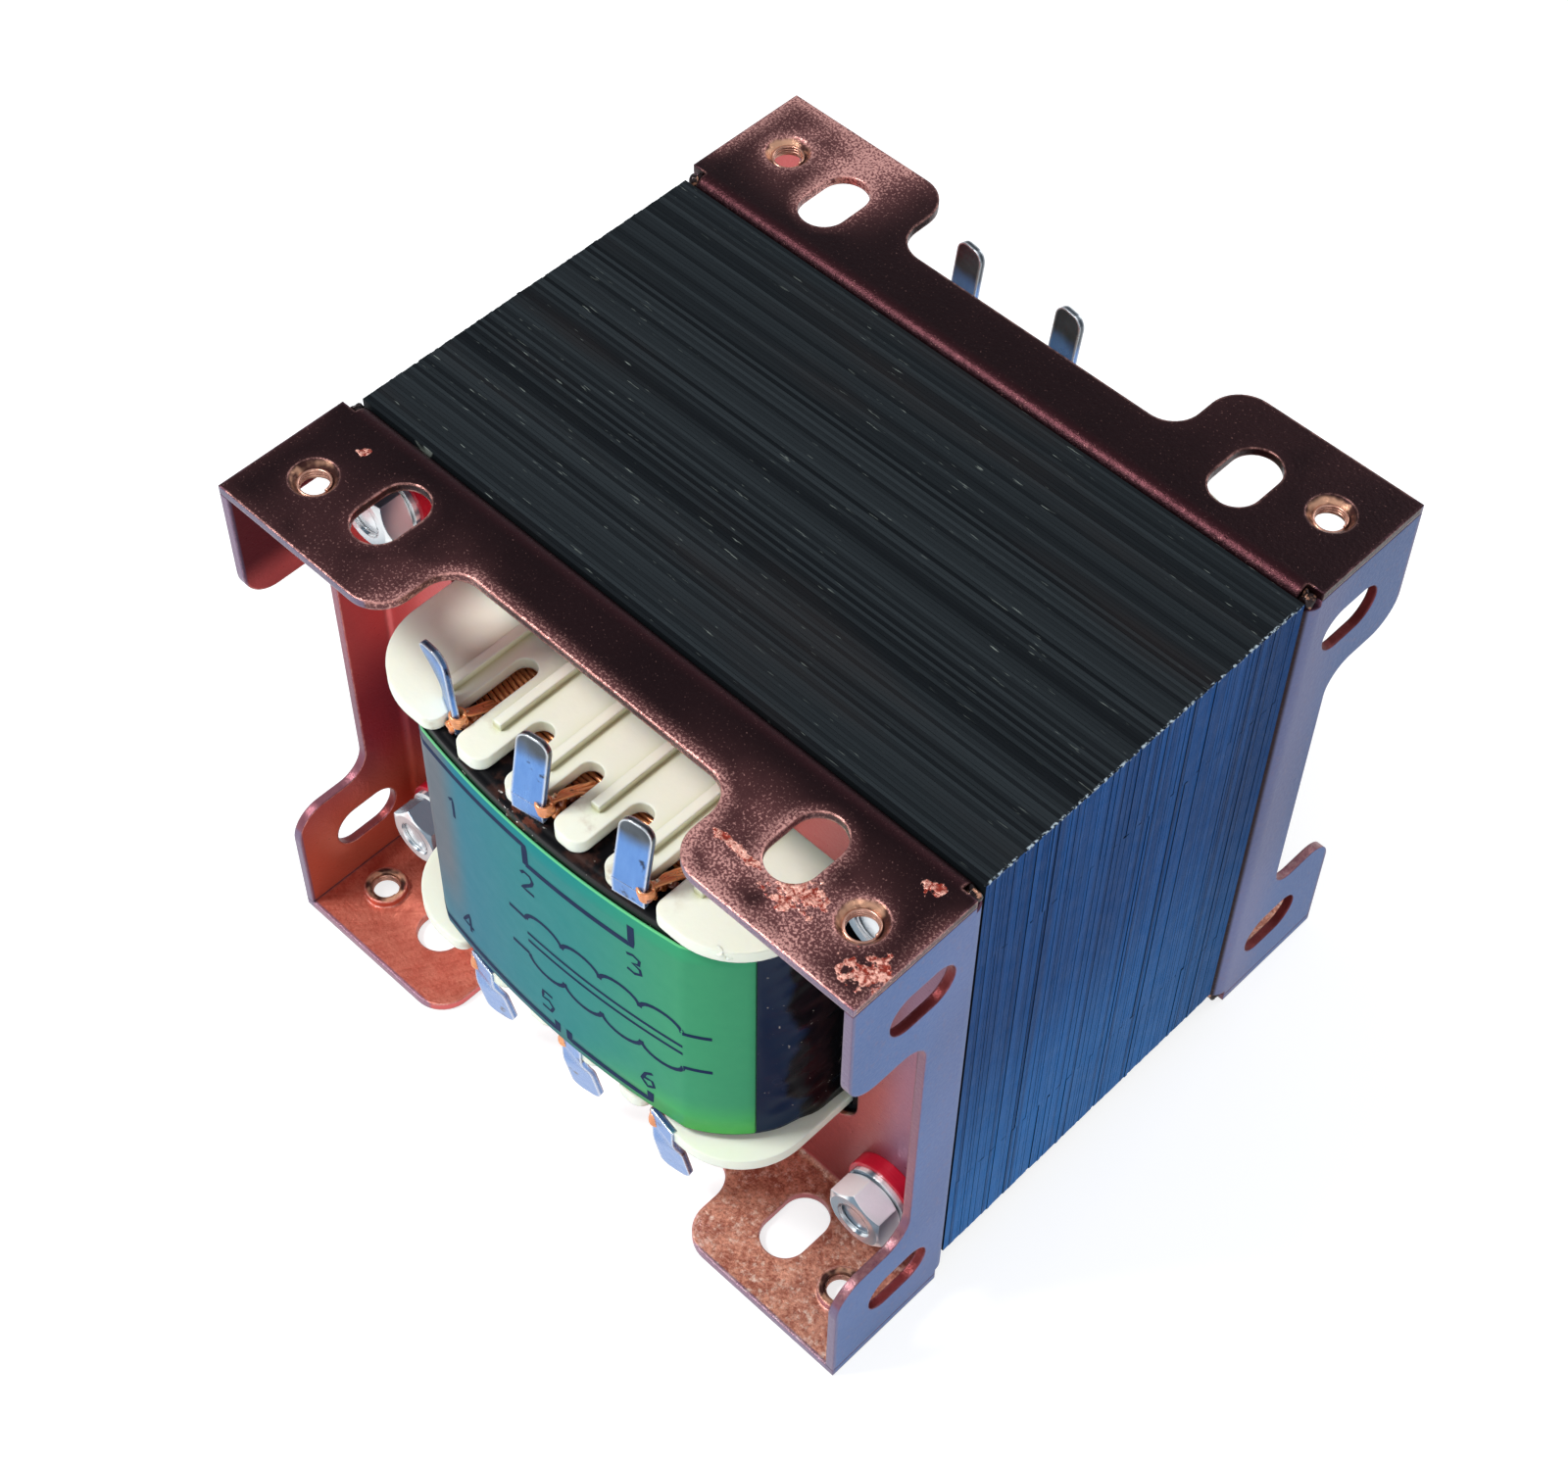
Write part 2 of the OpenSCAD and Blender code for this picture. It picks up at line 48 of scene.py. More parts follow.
# ---------------------------------------------------------------- sizes, all in millimetres
# read from the frame
core_lo, core_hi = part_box("core_e_stack")
tape_lo, tape_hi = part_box("winding_tape")
card_lo, card_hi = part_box("label_card")
frame_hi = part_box("front_frame")[1]
HALF_W, FACE_Y, CORE_Z = core_hi.x / MM, core_hi.y / MM, core_lo.z / MM
CORE_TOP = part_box("core_i_stack")[1].z / MM
COIL_LO, COIL_HI = (corner.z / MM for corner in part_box("winding"))
COIL_W, COIL_D = tape_hi.x / MM, tape_hi.y / MM
FRAME_X, FRAME_TOP = frame_hi.x / MM, frame_hi.z / MM
# as the part's own source has them
UNIT = HALF_W / 3
SHEET = 0.5
COIL_CORNER, COIL_BULGE = 18.0, 120.0  # radii of the winding's corners and of its front
TUBE_WALL, TUBE_CORNER = 1.8, 0.8
COMB_TOP, COMB_BOTTOM = CORE_Z + 4 * UNIT - 0.5, CORE_Z + UNIT  # where the lugs' rows stand
SIDE_SLOT = (FACE_Y + 9.6, FRAME_TOP / 2 - 10.5)  # along Y, and up or down from the middle
SCREW_AT = (HALF_W - 5.8, FACE_Y + 12.1)
PITCH = UNIT / 2
LUG_Y, LUG_ASIDE, LUG_YAW = -FACE_Y - 18.0, 2.1, 9
LUG_HALF_W, LUG_HALF_T, LUG_TIP_R = 2.2, 0.4, 1.6
SLOT_Y = -FACE_Y - 12.1


# ---------------------------------------------------------------- mesh helpers
def ring_faces(rings, sides, closed=False):
    """Quads between rings of points that follow each other."""
    faces = []
    for i in range(rings if closed else rings - 1):
        j = (i + 1) % rings
        for k in range(sides):
            m = (k + 1) % sides
            faces.append((i * sides + k, i * sides + m, j * sides + m, j * sides + k))
    return faces


class Shape:
    """Collects vertices and faces of several parts in one mesh, in millimetres."""

    def __init__(self):
        self.verts, self.faces = [], []

    def add(self, verts, faces):
        base = len(self.verts)
        self.verts += verts
        self.faces += [tuple(i + base for i in f) for f in faces]

    def tube(self, path, r, sides=10, closed=False):
        """A round wire along a path of points."""
        pts = [Vector(p) for p in path]
        n = len(pts)
        side = Vector((0.13, 0.21, 0.97))
        verts = []
        for i, p in enumerate(pts):
            a = pts[(i - 1) % n] if closed or i else p
            b = pts[(i + 1) % n] if closed or i < n - 1 else p
            t = (b - a).normalized()
            side = side - t * side.dot(t)
            side.normalize()
            other = t.cross(side)
            for k in range(sides):
                w = TURN * k / sides
                verts.append(tuple(p + r * (math.cos(w) * side + math.sin(w) * other)))
        faces = ring_faces(n, sides, closed)
        if not closed:
            faces.append(tuple(range(sides))[::-1])
            faces.append(tuple((n - 1) * sides + k for k in range(sides)))
        self.add(verts, faces)

    def prism(self, outline, y0, y1):
        """An outline in XZ, counter-clockwise from the front, swept from y0 to y1."""
        n = len(outline)
        verts = [(x, y, z) for y in (y0, y1) for x, z in outline]
        faces = [tuple(range(n)), tuple(range(2 * n - 1, n - 1, -1))]
        faces += [(i, i + n, (i + 1) % n + n, (i + 1) % n) for i in range(n)]
        self.add(verts, faces)

    def blob(self, centre, radii, bumps=0.12, seed=0, cells=12):
        """A lumpy drop."""
        r = random.Random(seed)
        ph = [r.uniform(0, 6.28) for _ in range(4)]
        verts = []
        for i in range(cells + 1):
            a = math.pi * i / cells
            for j in range(2 * cells):
                b = math.pi * j / cells
                k = 1 + bumps * (math.sin(2 * a + ph[0]) * math.cos(3 * b + ph[1])
                                 + 0.6 * math.sin(3 * a + ph[2]) * math.sin(2 * b + ph[3]))
                way = (math.sin(a) * math.cos(b), math.sin(a) * math.sin(b), math.cos(a))
                verts.append(tuple(c + s * k * w for c, s, w in zip(centre, radii, way)))
        self.add(verts, [(a, d, c, b) for a, b, c, d in ring_faces(cells + 1, 2 * cells)])

    def piece(self, name, material, slot, smooth=True, replaces=()):
        """The mesh as a piece that rides on the one body."""
        mesh = bpy.data.meshes.new(name)
        mesh.from_pydata([(x * MM, y * MM, z * MM) for x, y, z in self.verts], [], self.faces)
        mesh.update()
        mesh.materials.append(material)
        if smooth:
            mesh.polygons.foreach_set("use_smooth", [True] * len(mesh.polygons))
        obj = bpy.data.objects.new(name, mesh)
        bpy.context.scene.collection.objects.link(obj)
        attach(obj, "root")
        if replaces:
            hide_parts(*replaces)


# ---------------------------------------------------------------- material helpers
def rgb(r, g, b):
    """A screen colour from 0 to 255 as linear light."""
    return tuple(((c / 255 + 0.055) / 1.055) ** 2.4 if c > 10 else c / 255 / 12.92
                 for c in (r, g, b))


class Mat:
    """A node material written in few words. Its colours are screen colours from 0 to 255."""

    def __init__(self, name):
        self.m = bpy.data.materials.new(name)
        self.m.use_nodes = True
        self.t = self.m.node_tree
        self.bsdf = self.t.nodes["Principled BSDF"]
        coords = self.t.nodes.new("ShaderNodeTexCoord")
        self.here, self.normal = coords.outputs["Object"], coords.outputs["Normal"]
        self.x, self.y, self.z = self.split(self.here)
        self.nx, _, self.nz = self.split(self.normal)

    def fill(self, socket, value):
        """Links a socket to an output, or sets it to a constant."""
        if hasattr(value, "is_output"):
            self.t.links.new(value, socket)
        else:
            socket.default_value = value

    def node(self, kind, inputs=(), out=0, **settings):
        """Adds a shader node and returns one of its outputs."""
        n = self.t.nodes.new("ShaderNode" + kind)
        for k, v in settings.items():
            setattr(n, k, v)
        for k, v in dict(inputs).items():
            self.fill(n.inputs[k], v)
        return n.outputs[out]

    def split(self, vector):
        n = self.t.nodes.new("ShaderNodeSeparateXYZ")
        self.t.links.new(vector, n.inputs[0])
        return n.outputs

    def place(self, *scale):
        """Object coordinates stretched by scale."""
        return self.node("Mapping", {"Vector": self.here, "Scale": scale})

    def noise(self, scale, detail=3, rough=0.55, at=None):
        return self.node("TexNoise", {"Vector": at or self.here, "Scale": scale,
                                      "Detail": detail, "Roughness": rough, "Distortion": 0.0})

    def wave(self, scale, distortion):
        """Even bands one above the other."""
        return self.node("TexWave", {"Vector": self.here, "Scale": scale, "Distortion": distortion,
                                     "Detail": 1.0}, bands_direction="Z")

    def math(self, op, a, b=0.0, c=0.0, clamp=False):
        return self.node("Math", {0: a, 1: b, 2: c}, operation=op, use_clamp=clamp)

    def mul(self, first, *others):
        for other in others:
            first = self.math("MULTIPLY", first, other)
        return first

    def mad(self, a, b, c, clamp=False):
        """a times b, plus c."""
        return self.math("MULTIPLY_ADD", a, b, c, clamp)

    def sub(self, a, b):
        return self.math("SUBTRACT", a, b)

    def mag(self, a):
        return self.math("ABSOLUTE", a)

    def most(self, a, b):
        return self.math("MAXIMUM", a, b)

    def distance(self, point):
        """How far this place is from a point in millimetres."""
        point = tuple(c * MM for c in point)
        return self.node("VectorMath", {0: self.here, 1: point}, out=1, operation="DISTANCE")

    def step(self, value, low, high):
        """0 below low, 1 above high, smooth between; high may be the smaller one."""
        return self.node("MapRange", {"Value": value, "From Min": low, "From Max": high},
                         interpolation_type="SMOOTHSTEP")

    def ramp(self, value, low, high):
        """The same between two places in millimetres."""
        return self.step(value, low * MM, high * MM)

    def spots(self, scale, low, high, detail=3, rough=0.55, at=None):
        """Cloudy spots from 0 to 1."""
        return self.step(self.noise(scale, detail, rough, at), low, high)

    def mix(self, fac, a, b):
        n = self.t.nodes.new("ShaderNodeMix")
        n.data_type = "RGBA"
        for k, v in ((0, fac), (6, a), (7, b)):
            self.fill(n.inputs[k], (*rgb(*v), 1) if isinstance(v, tuple) else v)
        return n.outputs[2]

    def lay(self, base, colour, *cover):
        """A colour over base, as far as the product of the covers says."""
        return self.mix(self.mul(*cover), base, colour)

    def put(self, **values):
        """Sets sockets of the shader; an underscore stands for a space."""
        for k, v in values.items():
            self.fill(self.bsdf.inputs[k.replace("_", " ")], v)

    def rough(self, value, spread, least):
        """Roughness from least up, as value says."""
        self.put(Roughness=self.mad(value, spread, least))

    def bump(self, height, distance, strength=1.0, radius=0.0):
        """Relief of a depth in millimetres, on edges rounded by radius."""
        inputs = {"Height": height, "Distance": distance * MM, "Strength": strength}
        if radius:
            inputs["Normal"] = self.node("Bevel", {"Radius": radius * MM}, samples=6)
        self.put(Normal=self.node("Bump", inputs))


# ---------------------------------------------------------------- core: varnished sheet edges
def core_material():
    m = Mat("varnished_laminations")
    sheet, pair = (m.node("TexWhiteNoise", {"W": m.math("FLOOR", m.mul(m.y, per_metre))},
                          noise_dimensions="1D") for per_metre in (1000 / SHEET, 500 / SHEET))
    side = m.step(m.mag(m.nx), 0.4, 0.8)
    # black varnish on top, with a faint brown cloud here and there
    top = m.mix(sheet, (17, 20, 23), (38, 43, 46))
    top = m.lay(top, (38, 32, 31), m.spots(55.0, 0.5, 0.8, at=m.place(0.35, 2.2, 0.35)), 0.5)
    # painted blue reflection at the sides: lighter towards the ground as a painted reflection of
    # it, darker to the rear as painted shade, with dark lines
    blue_reflection = m.mix(pair, (8, 58, 110), (16, 74, 134))
    blue_reflection = m.lay(blue_reflection, (50, 118, 184), m.ramp(m.z, 56.0, 4.0), 0.7)
    blue_reflection = m.lay(blue_reflection, (20, 54, 96), m.spots(38.0, 0.4, 0.75, 4), 0.25)
    blue_reflection = m.lay(blue_reflection, (14, 36, 70), m.step(sheet, 0.78, 0.95), 0.5)
    blue_reflection = m.lay(blue_reflection, (8, 36, 72), m.ramp(m.y, 8.0, 24.0), 0.4)
    base = m.mix(side, top, blue_reflection)
    # pale burrs: short dashes where the varnish has flaked from an edge
    dash = m.spots(1.0, 0.665, 0.73, 2, 0.7, at=m.place(240.0, 2600.0, 240.0))
    patch = m.mul(m.spots(45.0, 0.4, 0.6, 2), m.spots(320.0, 0.3, 0.6, 2))
    on_top = m.sub(1.0, m.mul(side, 0.85))
    base = m.lay(base, (138, 146, 138), dash, patch, on_top, 0.62)
    # a dotted pale line along the edge between top and side: burrs knocked bare, with painted
    # glints
    arris = m.mul(m.ramp(m.x, HALF_W - 0.35, HALF_W - 0.15),
                  m.ramp(m.z, CORE_TOP - 0.35, CORE_TOP - 0.15))
    base = m.lay(base, (176, 190, 198), arris, m.spots(2100.0, 0.5, 0.62, 2, 0.6), 0.75)
    m.put(Base_Color=base, Metallic=m.mul(side, 0.08), Specular_IOR_Level=0.02)
    m.rough(m.noise(420.0, 2), 0.25, 0.32)
    m.bump(m.noise(1.0, 3, 0.6, at=m.place(500.0, 6500.0, 500.0)), 0.12, 0.6)
    return m.m


def e_outline(inset, top):
    """The E packet's outline, drawn in by inset, with its legs up to top."""
    w, leg, window, yoke = HALF_W - inset, UNIT - inset, 2 * UNIT + inset, CORE_Z + UNIT - inset
    right = [(w, CORE_Z + inset), (w, top), (window, top), (window, yoke), (leg, yoke), (leg, top)]
    left = [(-x, z) for x, z in reversed(right)]
    return left[-1:] + right + left[:-1]


def i_outline(inset, bottom):
    """The I packet's outline, drawn in by inset, from bottom up."""
    w, top = HALF_W - inset, CORE_TOP - inset
    return [(-w, bottom), (w, bottom), (w, top), (-w, top)]


def shifted(points, dx, dz, flip):
    """Moves an outline a little, and turns it over about the core's middle if flip is set."""
    out = [(x + dx, (CORE_Z + CORE_TOP - z if flip else z) + dz) for x, z in points]
    return out[::-1] if flip else out


def make_core():
    """Every sheet of the stack, the E and the I changing ends two sheets at a time."""
    slack, filler_inset = 0.04, 0.4
    joint = CORE_TOP - UNIT
    e_sheet, i_sheet = e_outline(0, joint - slack), i_outline(0, joint + slack)
    shape = Shape()
    count = round(2 * FACE_Y / SHEET)
    for k in range(count):
        y = -FACE_Y + SHEET * k
        flip = (k // 2) % 2 == 1
        loose = 0.03 if rng.random() < 0.85 else 0.09
        gap = 0.02 if k % 2 else 0.045
        ends = (0 if k == 0 else gap / 2, 0 if k == count - 1 else gap / 2)
        for points in (e_sheet, i_sheet):
            dx = rng.uniform(-loose, loose)
            dz = rng.uniform(-loose, loose) * 0.7
            shape.prism(shifted(points, dx, dz, flip), y + ends[0], y + SHEET - ends[1])
    # varnish closes the gaps a little below the sheets' edges
    depth = FACE_Y - filler_inset
    shape.prism(e_outline(filler_inset, joint + slack), -depth, depth)
    shape.prism(i_outline(filler_inset, joint + slack), -depth, depth)
    shape.piece("core_laminations", core_material(), "core_steel", smooth=False,
                replaces=("core_e_stack", "core_i_stack"))


# ---------------------------------------------------------------- frames: copper-flashed sheet
SCUFFS = (  # each a line on the top flange, from, to and reach
    ((33.6, -40.6), (36.6, -40.0), 3.7), ((46.2, -42.3), (47.0, -41.8), 3.9),
    ((24.0, -40.4), (30.6, -40.9), 1.1), ((44.0, -30.6), (44.8, -30.0), 1.7),
    ((-41.3, -31.8), (-41.1, -31.5), 1.2),
)


def tray_colour(m, cloud, grit, dents, fore, out_x):
    """Copper inside the tray, with painted reflections and shade: crimson walls on the left, paler
    to the right and below.
    """
    left = m.mul(m.ramp(m.x, -20.0, -34.0), fore)
    # the walls' crimson is copper with a painted red reflection; on the left painted shade darkens
    # the middle and a painted reflection lightens it near the floor
    wall = m.mix(cloud, (196, 78, 82), (236, 118, 112))
    wall = m.lay(wall, (146, 56, 66), left, m.ramp(m.z, 47.0, 31.0))
    wall = m.lay(wall, (196, 96, 74), left, m.ramp(m.z, 26.0, 10.0))
    # painted shade dulls the walls to the right, with a painted lavender reflection at the front
    # right
    wall = m.lay(wall, (112, 66, 70), m.ramp(m.x, 12.0, 40.0), 0.8)
    wall = m.lay(wall, (134, 122, 162), m.ramp(m.x, 36.0, 41.5), fore, 0.4)
    # a painted shadow on the inner face of the left side flange, under the top flange
    wall = m.lay(wall, (74, 28, 40), left, m.step(out_x, -0.4, -0.7),
                 m.ramp(m.z, FRAME_TOP - 18.0, FRAME_TOP - 13.0), 0.85)
    floor = m.mix(m.step(m.mad(grit, 0.5, m.mul(dents, 0.5)), 0.38, 0.62),
                  (166, 96, 78), (236, 170, 144))
    # painted highlights: pale spots on the floor, fading to the left, where the floor is plainer
    # orange
    floor = m.lay(floor, (255, 228, 210), m.spots(980.0, 0.5, 0.72, 5, 0.75),
                  m.ramp(m.x, -10.0, 20.0), 0.95)
    floor = m.lay(floor, (194, 96, 78), m.ramp(m.x, 0.0, -30.0), 0.75)
    return m.mix(m.step(m.nz, 0.3, 0.8), wall, floor)


def tarnish_and_sheen_colour(m, cloud, fore, x_abs, y_abs):
    """Top faces: maroon tarnish, nearly black by the core, pink at the rims from tarnish and
    painted sheen, with pale specks of painted glints.
    """
    maroon = m.mix(cloud, (22, 11, 14), (42, 23, 26))
    maroon = m.lay(maroon, (70, 30, 36), m.ramp(y_abs, FACE_Y + 3.0, FACE_Y + 1.0), 0.5)
    maroon = m.lay(maroon, (26, 10, 14), m.ramp(y_abs, FACE_Y + 1.4, FACE_Y + 0.4), 0.8)
    # the rims' pink is partly tarnish and partly painted sheen; along the turned rims a painted
    # highlight lies in a soft band
    rim_way = m.ramp(y_abs, 28.0, 45.5)
    rim_highlight = m.mul(turned(m, 3.6, 0.998, 0.8), m.ramp(y_abs, 28.0, 34.0))
    corner = m.mul(m.ramp(x_abs, 8.0, 22.0), m.ramp(x_abs, 48.0, 37.0),
                   m.spots(110.0, 0.3, 0.6, 2))
    # more pink and painted sheen at the front, most at the front right; the rear flange is still
    # dark
    across = m.mad(m.ramp(m.x, -18.0, -30.0), -0.74, 0.9)
    behind = m.mul(m.ramp(m.x, -22.0, -36.0), m.sub(1.0, fore))
    ahead = m.mad(fore, across, m.mad(behind, 1.1, 0.06))
    pink = m.mad(rim_way, m.mad(corner, 0.75, 0.06), m.mul(rim_highlight, 0.6))
    pink = m.mul(pink, ahead)
    blotch = m.ramp(m.distance((24.5, -37.5, FRAME_TOP)), 8.5, 2.0)
    pink = m.mad(blotch, 0.2, pink)
    pink = m.mad(m.mul(behind, m.ramp(y_abs, 30.0, 41.0)), 0.3, pink, clamp=True)
    maroon = m.mix(pink, maroon, (136, 84, 84))
    # pale specks: grain with painted glints, most where the pink is
    grain_and_glints = m.mad(pink, 0.24, m.noise(3300.0, 2, 0.6))
    return m.lay(maroon, (230, 170, 160), m.step(grain_and_glints, 0.64, 0.78), m.mad(pink, 1.0, 0.16))


def lavender_reflection_colour(m, y_abs):
    """Outer side faces in a painted lavender reflection, with a painted sheen nearer the core, and
    darker at the rear as painted shade.
    """
    lilac = m.mix(m.noise(40.0), (64, 88, 134), (96, 122, 172))
    lilac = m.lay(lilac, (132, 108, 124), m.spots(900.0, 0.55, 0.7), 0.25)
    lilac = m.lay(lilac, (138, 128, 154), m.ramp(y_abs, 37.0, 29.0),
                  m.mad(m.ramp(m.y, -10.0, 10.0), 0.3, 0.15))
    return m.lay(lilac, (44, 50, 76), m.ramp(m.y, 0.0, 20.0), m.ramp(m.z, 18.0, 40.0), 0.3)


def frame_material():
    m = Mat("tarnished_copper_flash")
    x_abs, y_abs = m.mag(m.x), m.mag(m.y)
    out_x = m.mul(m.nx, m.math("SIGN", m.x))
    cloud, grit, dents = m.noise(70.0, 4), m.noise(1700.0, 3, 0.75), m.noise(420.0, 4, 0.65)
    fore = m.ramp(m.y, 10.0, -10.0)
    maroon = tarnish_and_sheen_colour(m, cloud, fore, x_abs, y_abs)
    # which face this is
    is_top = m.mul(m.step(m.nz, 0.1, 0.8), m.ramp(m.z, FRAME_TOP - 3.0, FRAME_TOP - 2.4))
    near_top = m.ramp(m.z, FRAME_TOP - 1.35, FRAME_TOP - 1.15)
    at_side = m.ramp(x_abs, FRAME_X - 1.4, FRAME_X - 1.2)
    edge_on = m.mul(m.step(m.mag(out_x), 0.7, 0.4), at_side)
    slot_wall = m.mul(slot_zone(m, y_abs), edge_on)
    is_side = m.mul(m.step(out_x, 0.3, 0.7), at_side, m.sub(1.0, m.most(near_top, slot_wall)))
    is_under = m.mul(m.step(m.nz, -0.3, -0.8), m.ramp(m.z, 1.2, 0.4))
    at_core = m.ramp(y_abs, FACE_Y + 0.9, FACE_Y + 0.5)
    base = m.mix(m.most(is_top, near_top), tray_colour(m, cloud, grit, dents, fore, out_x), maroon)
    # painted reflection: the edge-on faces of the sheet at the sides lavender-grey
    base = m.lay(base, (110, 74, 92), edge_on, m.sub(0.8, m.mul(near_top, 0.8)))
    base = m.mix(is_side, base, lavender_reflection_colour(m, y_abs))
    # painted shade: dark red walls in the side slots
    base = m.mix(slot_wall, base, (112, 46, 46))
    base = m.mix(m.most(is_under, at_core), base, maroon)
    # bare copper and a painted highlight along bends and rims, most of all round the front recess
    at_flange = m.most(is_side, edge_on)
    wear_and_highlight = m.mul(edge_wear_and_highlight(m), m.mad(m.spots(1300.0, 0.42, 0.62, 3, 0.7), 0.75, 0.25),
                 m.sub(0.9, m.mul(at_flange, 0.45)), m.ramp(y_abs, FACE_Y + 0.5, FACE_Y + 3.5),
                 m.mad(fore, 0.5, 0.5))
    base = m.mix(wear_and_highlight, base, m.mix(at_flange, (220, 160, 150), (156, 108, 122)))
    # painted reflection: the front edges lavender-grey
    front_edge = m.mul(m.ramp(y_abs, 45.8, 46.1), m.sub(1.0, is_top))
    base = m.lay(base, (112, 104, 132), front_edge, 0.7)
    # painted glints on the dished mouth of each screw hole: golden specks on dark
    mouth_glints = m.mix(m.spots(420.0, 0.4, 0.62, 2), (70, 42, 38), (216, 164, 134))
    base = m.mix(screw_ring(m, x_abs, y_abs), base, mouth_glints)
    scuff = m.mul(scuffs(m), is_top)
    crumple = m.noise(1500.0, 4, 0.7)
    bright = m.mix(m.step(crumple, 0.4, 0.62), (140, 50, 38), (246, 184, 166))
    dull = m.most(is_side, m.sub(1.0, m.most(is_top, near_top)))
    m.put(Base_Color=m.mix(scuff, base, bright), Metallic=m.mad(dull, -0.25, 0.75),
          Specular_IOR_Level=0.2)
    m.rough(is_side, 0.15, m.mad(grit, 0.3, 0.18))
    lumps = m.mad(scuff, m.mul(crumple, 3.0), m.mul(grit, 0.9))
    on_floor = m.mul(m.step(m.nz, 0.3, 0.8), m.ramp(m.z, 20.0, 10.0))
    m.bump(m.mad(m.mul(dents, on_floor), 2.4, lumps), 0.12, 0.6, radius=0.45)
    return m.m


def slot_zone(m, y_abs):
    """1 near the four slots of each side flange."""
    up = m.mag(m.sub(m.z, FRAME_TOP / 2 * MM))
    dz = m.mag(m.sub(up, SIDE_SLOT[1] * MM))
    dy = m.mag(m.sub(y_abs, SIDE_SLOT[0] * MM))
    return m.mul(m.ramp(dz, 4.2, 3.6), m.ramp(dy, 6.2, 5.4))


def screw_ring(m, x_abs, y_abs):
    """1 on the dished mouth of each small screw hole in the top and bottom flanges."""
    dx, dy = m.sub(x_abs, SCREW_AT[0] * MM), m.sub(y_abs, SCREW_AT[1] * MM)
    d = m.math("SQRT", m.math("ADD", m.mul(dx, dx), m.mul(dy, dy)))
    return m.ramp(m.mad(m.noise(500.0, 2, 0.5), 0.0008, d), 3.3, 2.9)


def turned(m, radius, none, full):
    """Up to 1 where the surface turns sharply within radius, in millimetres.

    There the bevelled normal leaves the flat one.
    """
    wide = m.node("Bevel", {"Radius": radius * MM}, samples=8)
    flat = m.node("NewGeometry", out="Normal")
    dot = m.node("VectorMath", {0: wide, 1: flat}, out=1, operation="DOT_PRODUCT")
    return m.step(dot, none, full)


def edge_wear_and_highlight(m):
    """Up to 1 along the very edges."""
    return turned(m, 0.6, 0.985, 0.9)


def scuffs(m):
    """Ragged patches of bare copper on the top flange."""
    total = None
    ragged = m.noise(620.0, 3, 0.55)
    for (xa, ya), (xb, yb), r in SCUFFS:
        start = Vector((xa, ya, FRAME_TOP)) * MM
        way = Vector((xb - xa, yb - ya, 0)) * MM
        to_here = m.node("VectorMath", {0: m.here, 1: tuple(start)}, operation="SUBTRACT")
        along = m.node("VectorMath", {0: to_here, 1: tuple(way / way.length_squared)}, out=1,
                       operation="DOT_PRODUCT")
        along = m.math("MULTIPLY", along, 1.0, clamp=True)
        nearest = m.node("VectorMath", {0: tuple(way), "Scale": along}, operation="SCALE")
        d = m.node("VectorMath", {0: to_here, 1: nearest}, out=1, operation="DISTANCE")
        s = m.step(m.mad(d, -0.42 / (r * MM), ragged), 0.3, 0.36)
        total = s if total is None else m.most(total, s)
    return total


def thread_material():
    m = Mat("cut_copper_thread")
    m.put(Base_Color=m.mix(m.noise(900.0), (150, 92, 72), (226, 178, 158)), Metallic=0.85)
    m.rough(m.noise(2000.0), 0.25, 0.18)
    return m.m


def make_threads():
    """The cut thread inside each small screw hole."""
    shape = Shape()
    r, wire_r, z_low, z_high, turns, steps = 1.93, 0.2, 0.75, 1.9, 3.0, 26
    for sx in (-1, 1):
        for sy in (-1, 1):
            for low in (True, False):
                cx, cy = sx * SCREW_AT[0], sy * SCREW_AT[1]
                path = []
                for i in range(int(turns * steps) + 1):
                    a = TURN * i / steps
                    z = z_low + (z_high - z_low) * i / (turns * steps)
                    path.append((cx + r * math.cos(a), cy + r * math.sin(a),
                                 z if low else FRAME_TOP - z))
                shape.tube(path, wire_r, sides=6)
    shape.piece("screw_hole_threads", thread_material(), "copper_plate")


def relief_shade_material():
    m = Mat("painted_relief_shade")
    # dark maroon painted shade with pale specks of painted glints
    m.put(Base_Color=m.mix(m.spots(900.0, 0.56, 0.68), (30, 17, 18), (206, 150, 122)), Metallic=0.6)
    m.rough(m.noise(1200.0), 0.3, 0.15)
    m.bump(m.noise(1300.0), 0.2, 0.6)
    return m.m


def make_corner_relief_shade():
    """The dark blobs that close the bend relief at each corner of the two frames: painted shade in
    the holes, with painted glints.
    """
    shape = Shape()
    in_by = 1.4
    for k in range(8):
        sx, sy, low = k % 2 * 2 - 1, k // 2 % 2 * 2 - 1, k < 4
        z = in_by if low else FRAME_TOP - in_by
        shape.blob((sx * (FRAME_X - in_by), sy * (FACE_Y + in_by), z), (1.0, 0.95, 1.0),
                   bumps=0.2, seed=60 + k, cells=10)
    shape.piece("corner_relief_shade", relief_shade_material(), "copper_plate")


# ---------------------------------------------------------------- winding, tape and label
def edge_of(inside, a):
    """The point at angle a where a plan round the origin ends."""
    c, s = math.cos(a), math.sin(a)
    lo, hi = 0.0, 80.0
    for _ in range(30):
        mid = (lo + hi) / 2
        lo, hi = (mid, hi) if inside(abs(mid * c), abs(mid * s)) else (lo, mid)
    return lo * c, lo * s


def in_rounded(x, y, w, d, r):
    """Whether x, y lies in a rectangle of half sides w and d with corners of radius r."""
    in_corner = x > w - r and y > d - r
    return x <= w and y <= d and not (in_corner and math.hypot(x - w + r, y - d + r) > r)


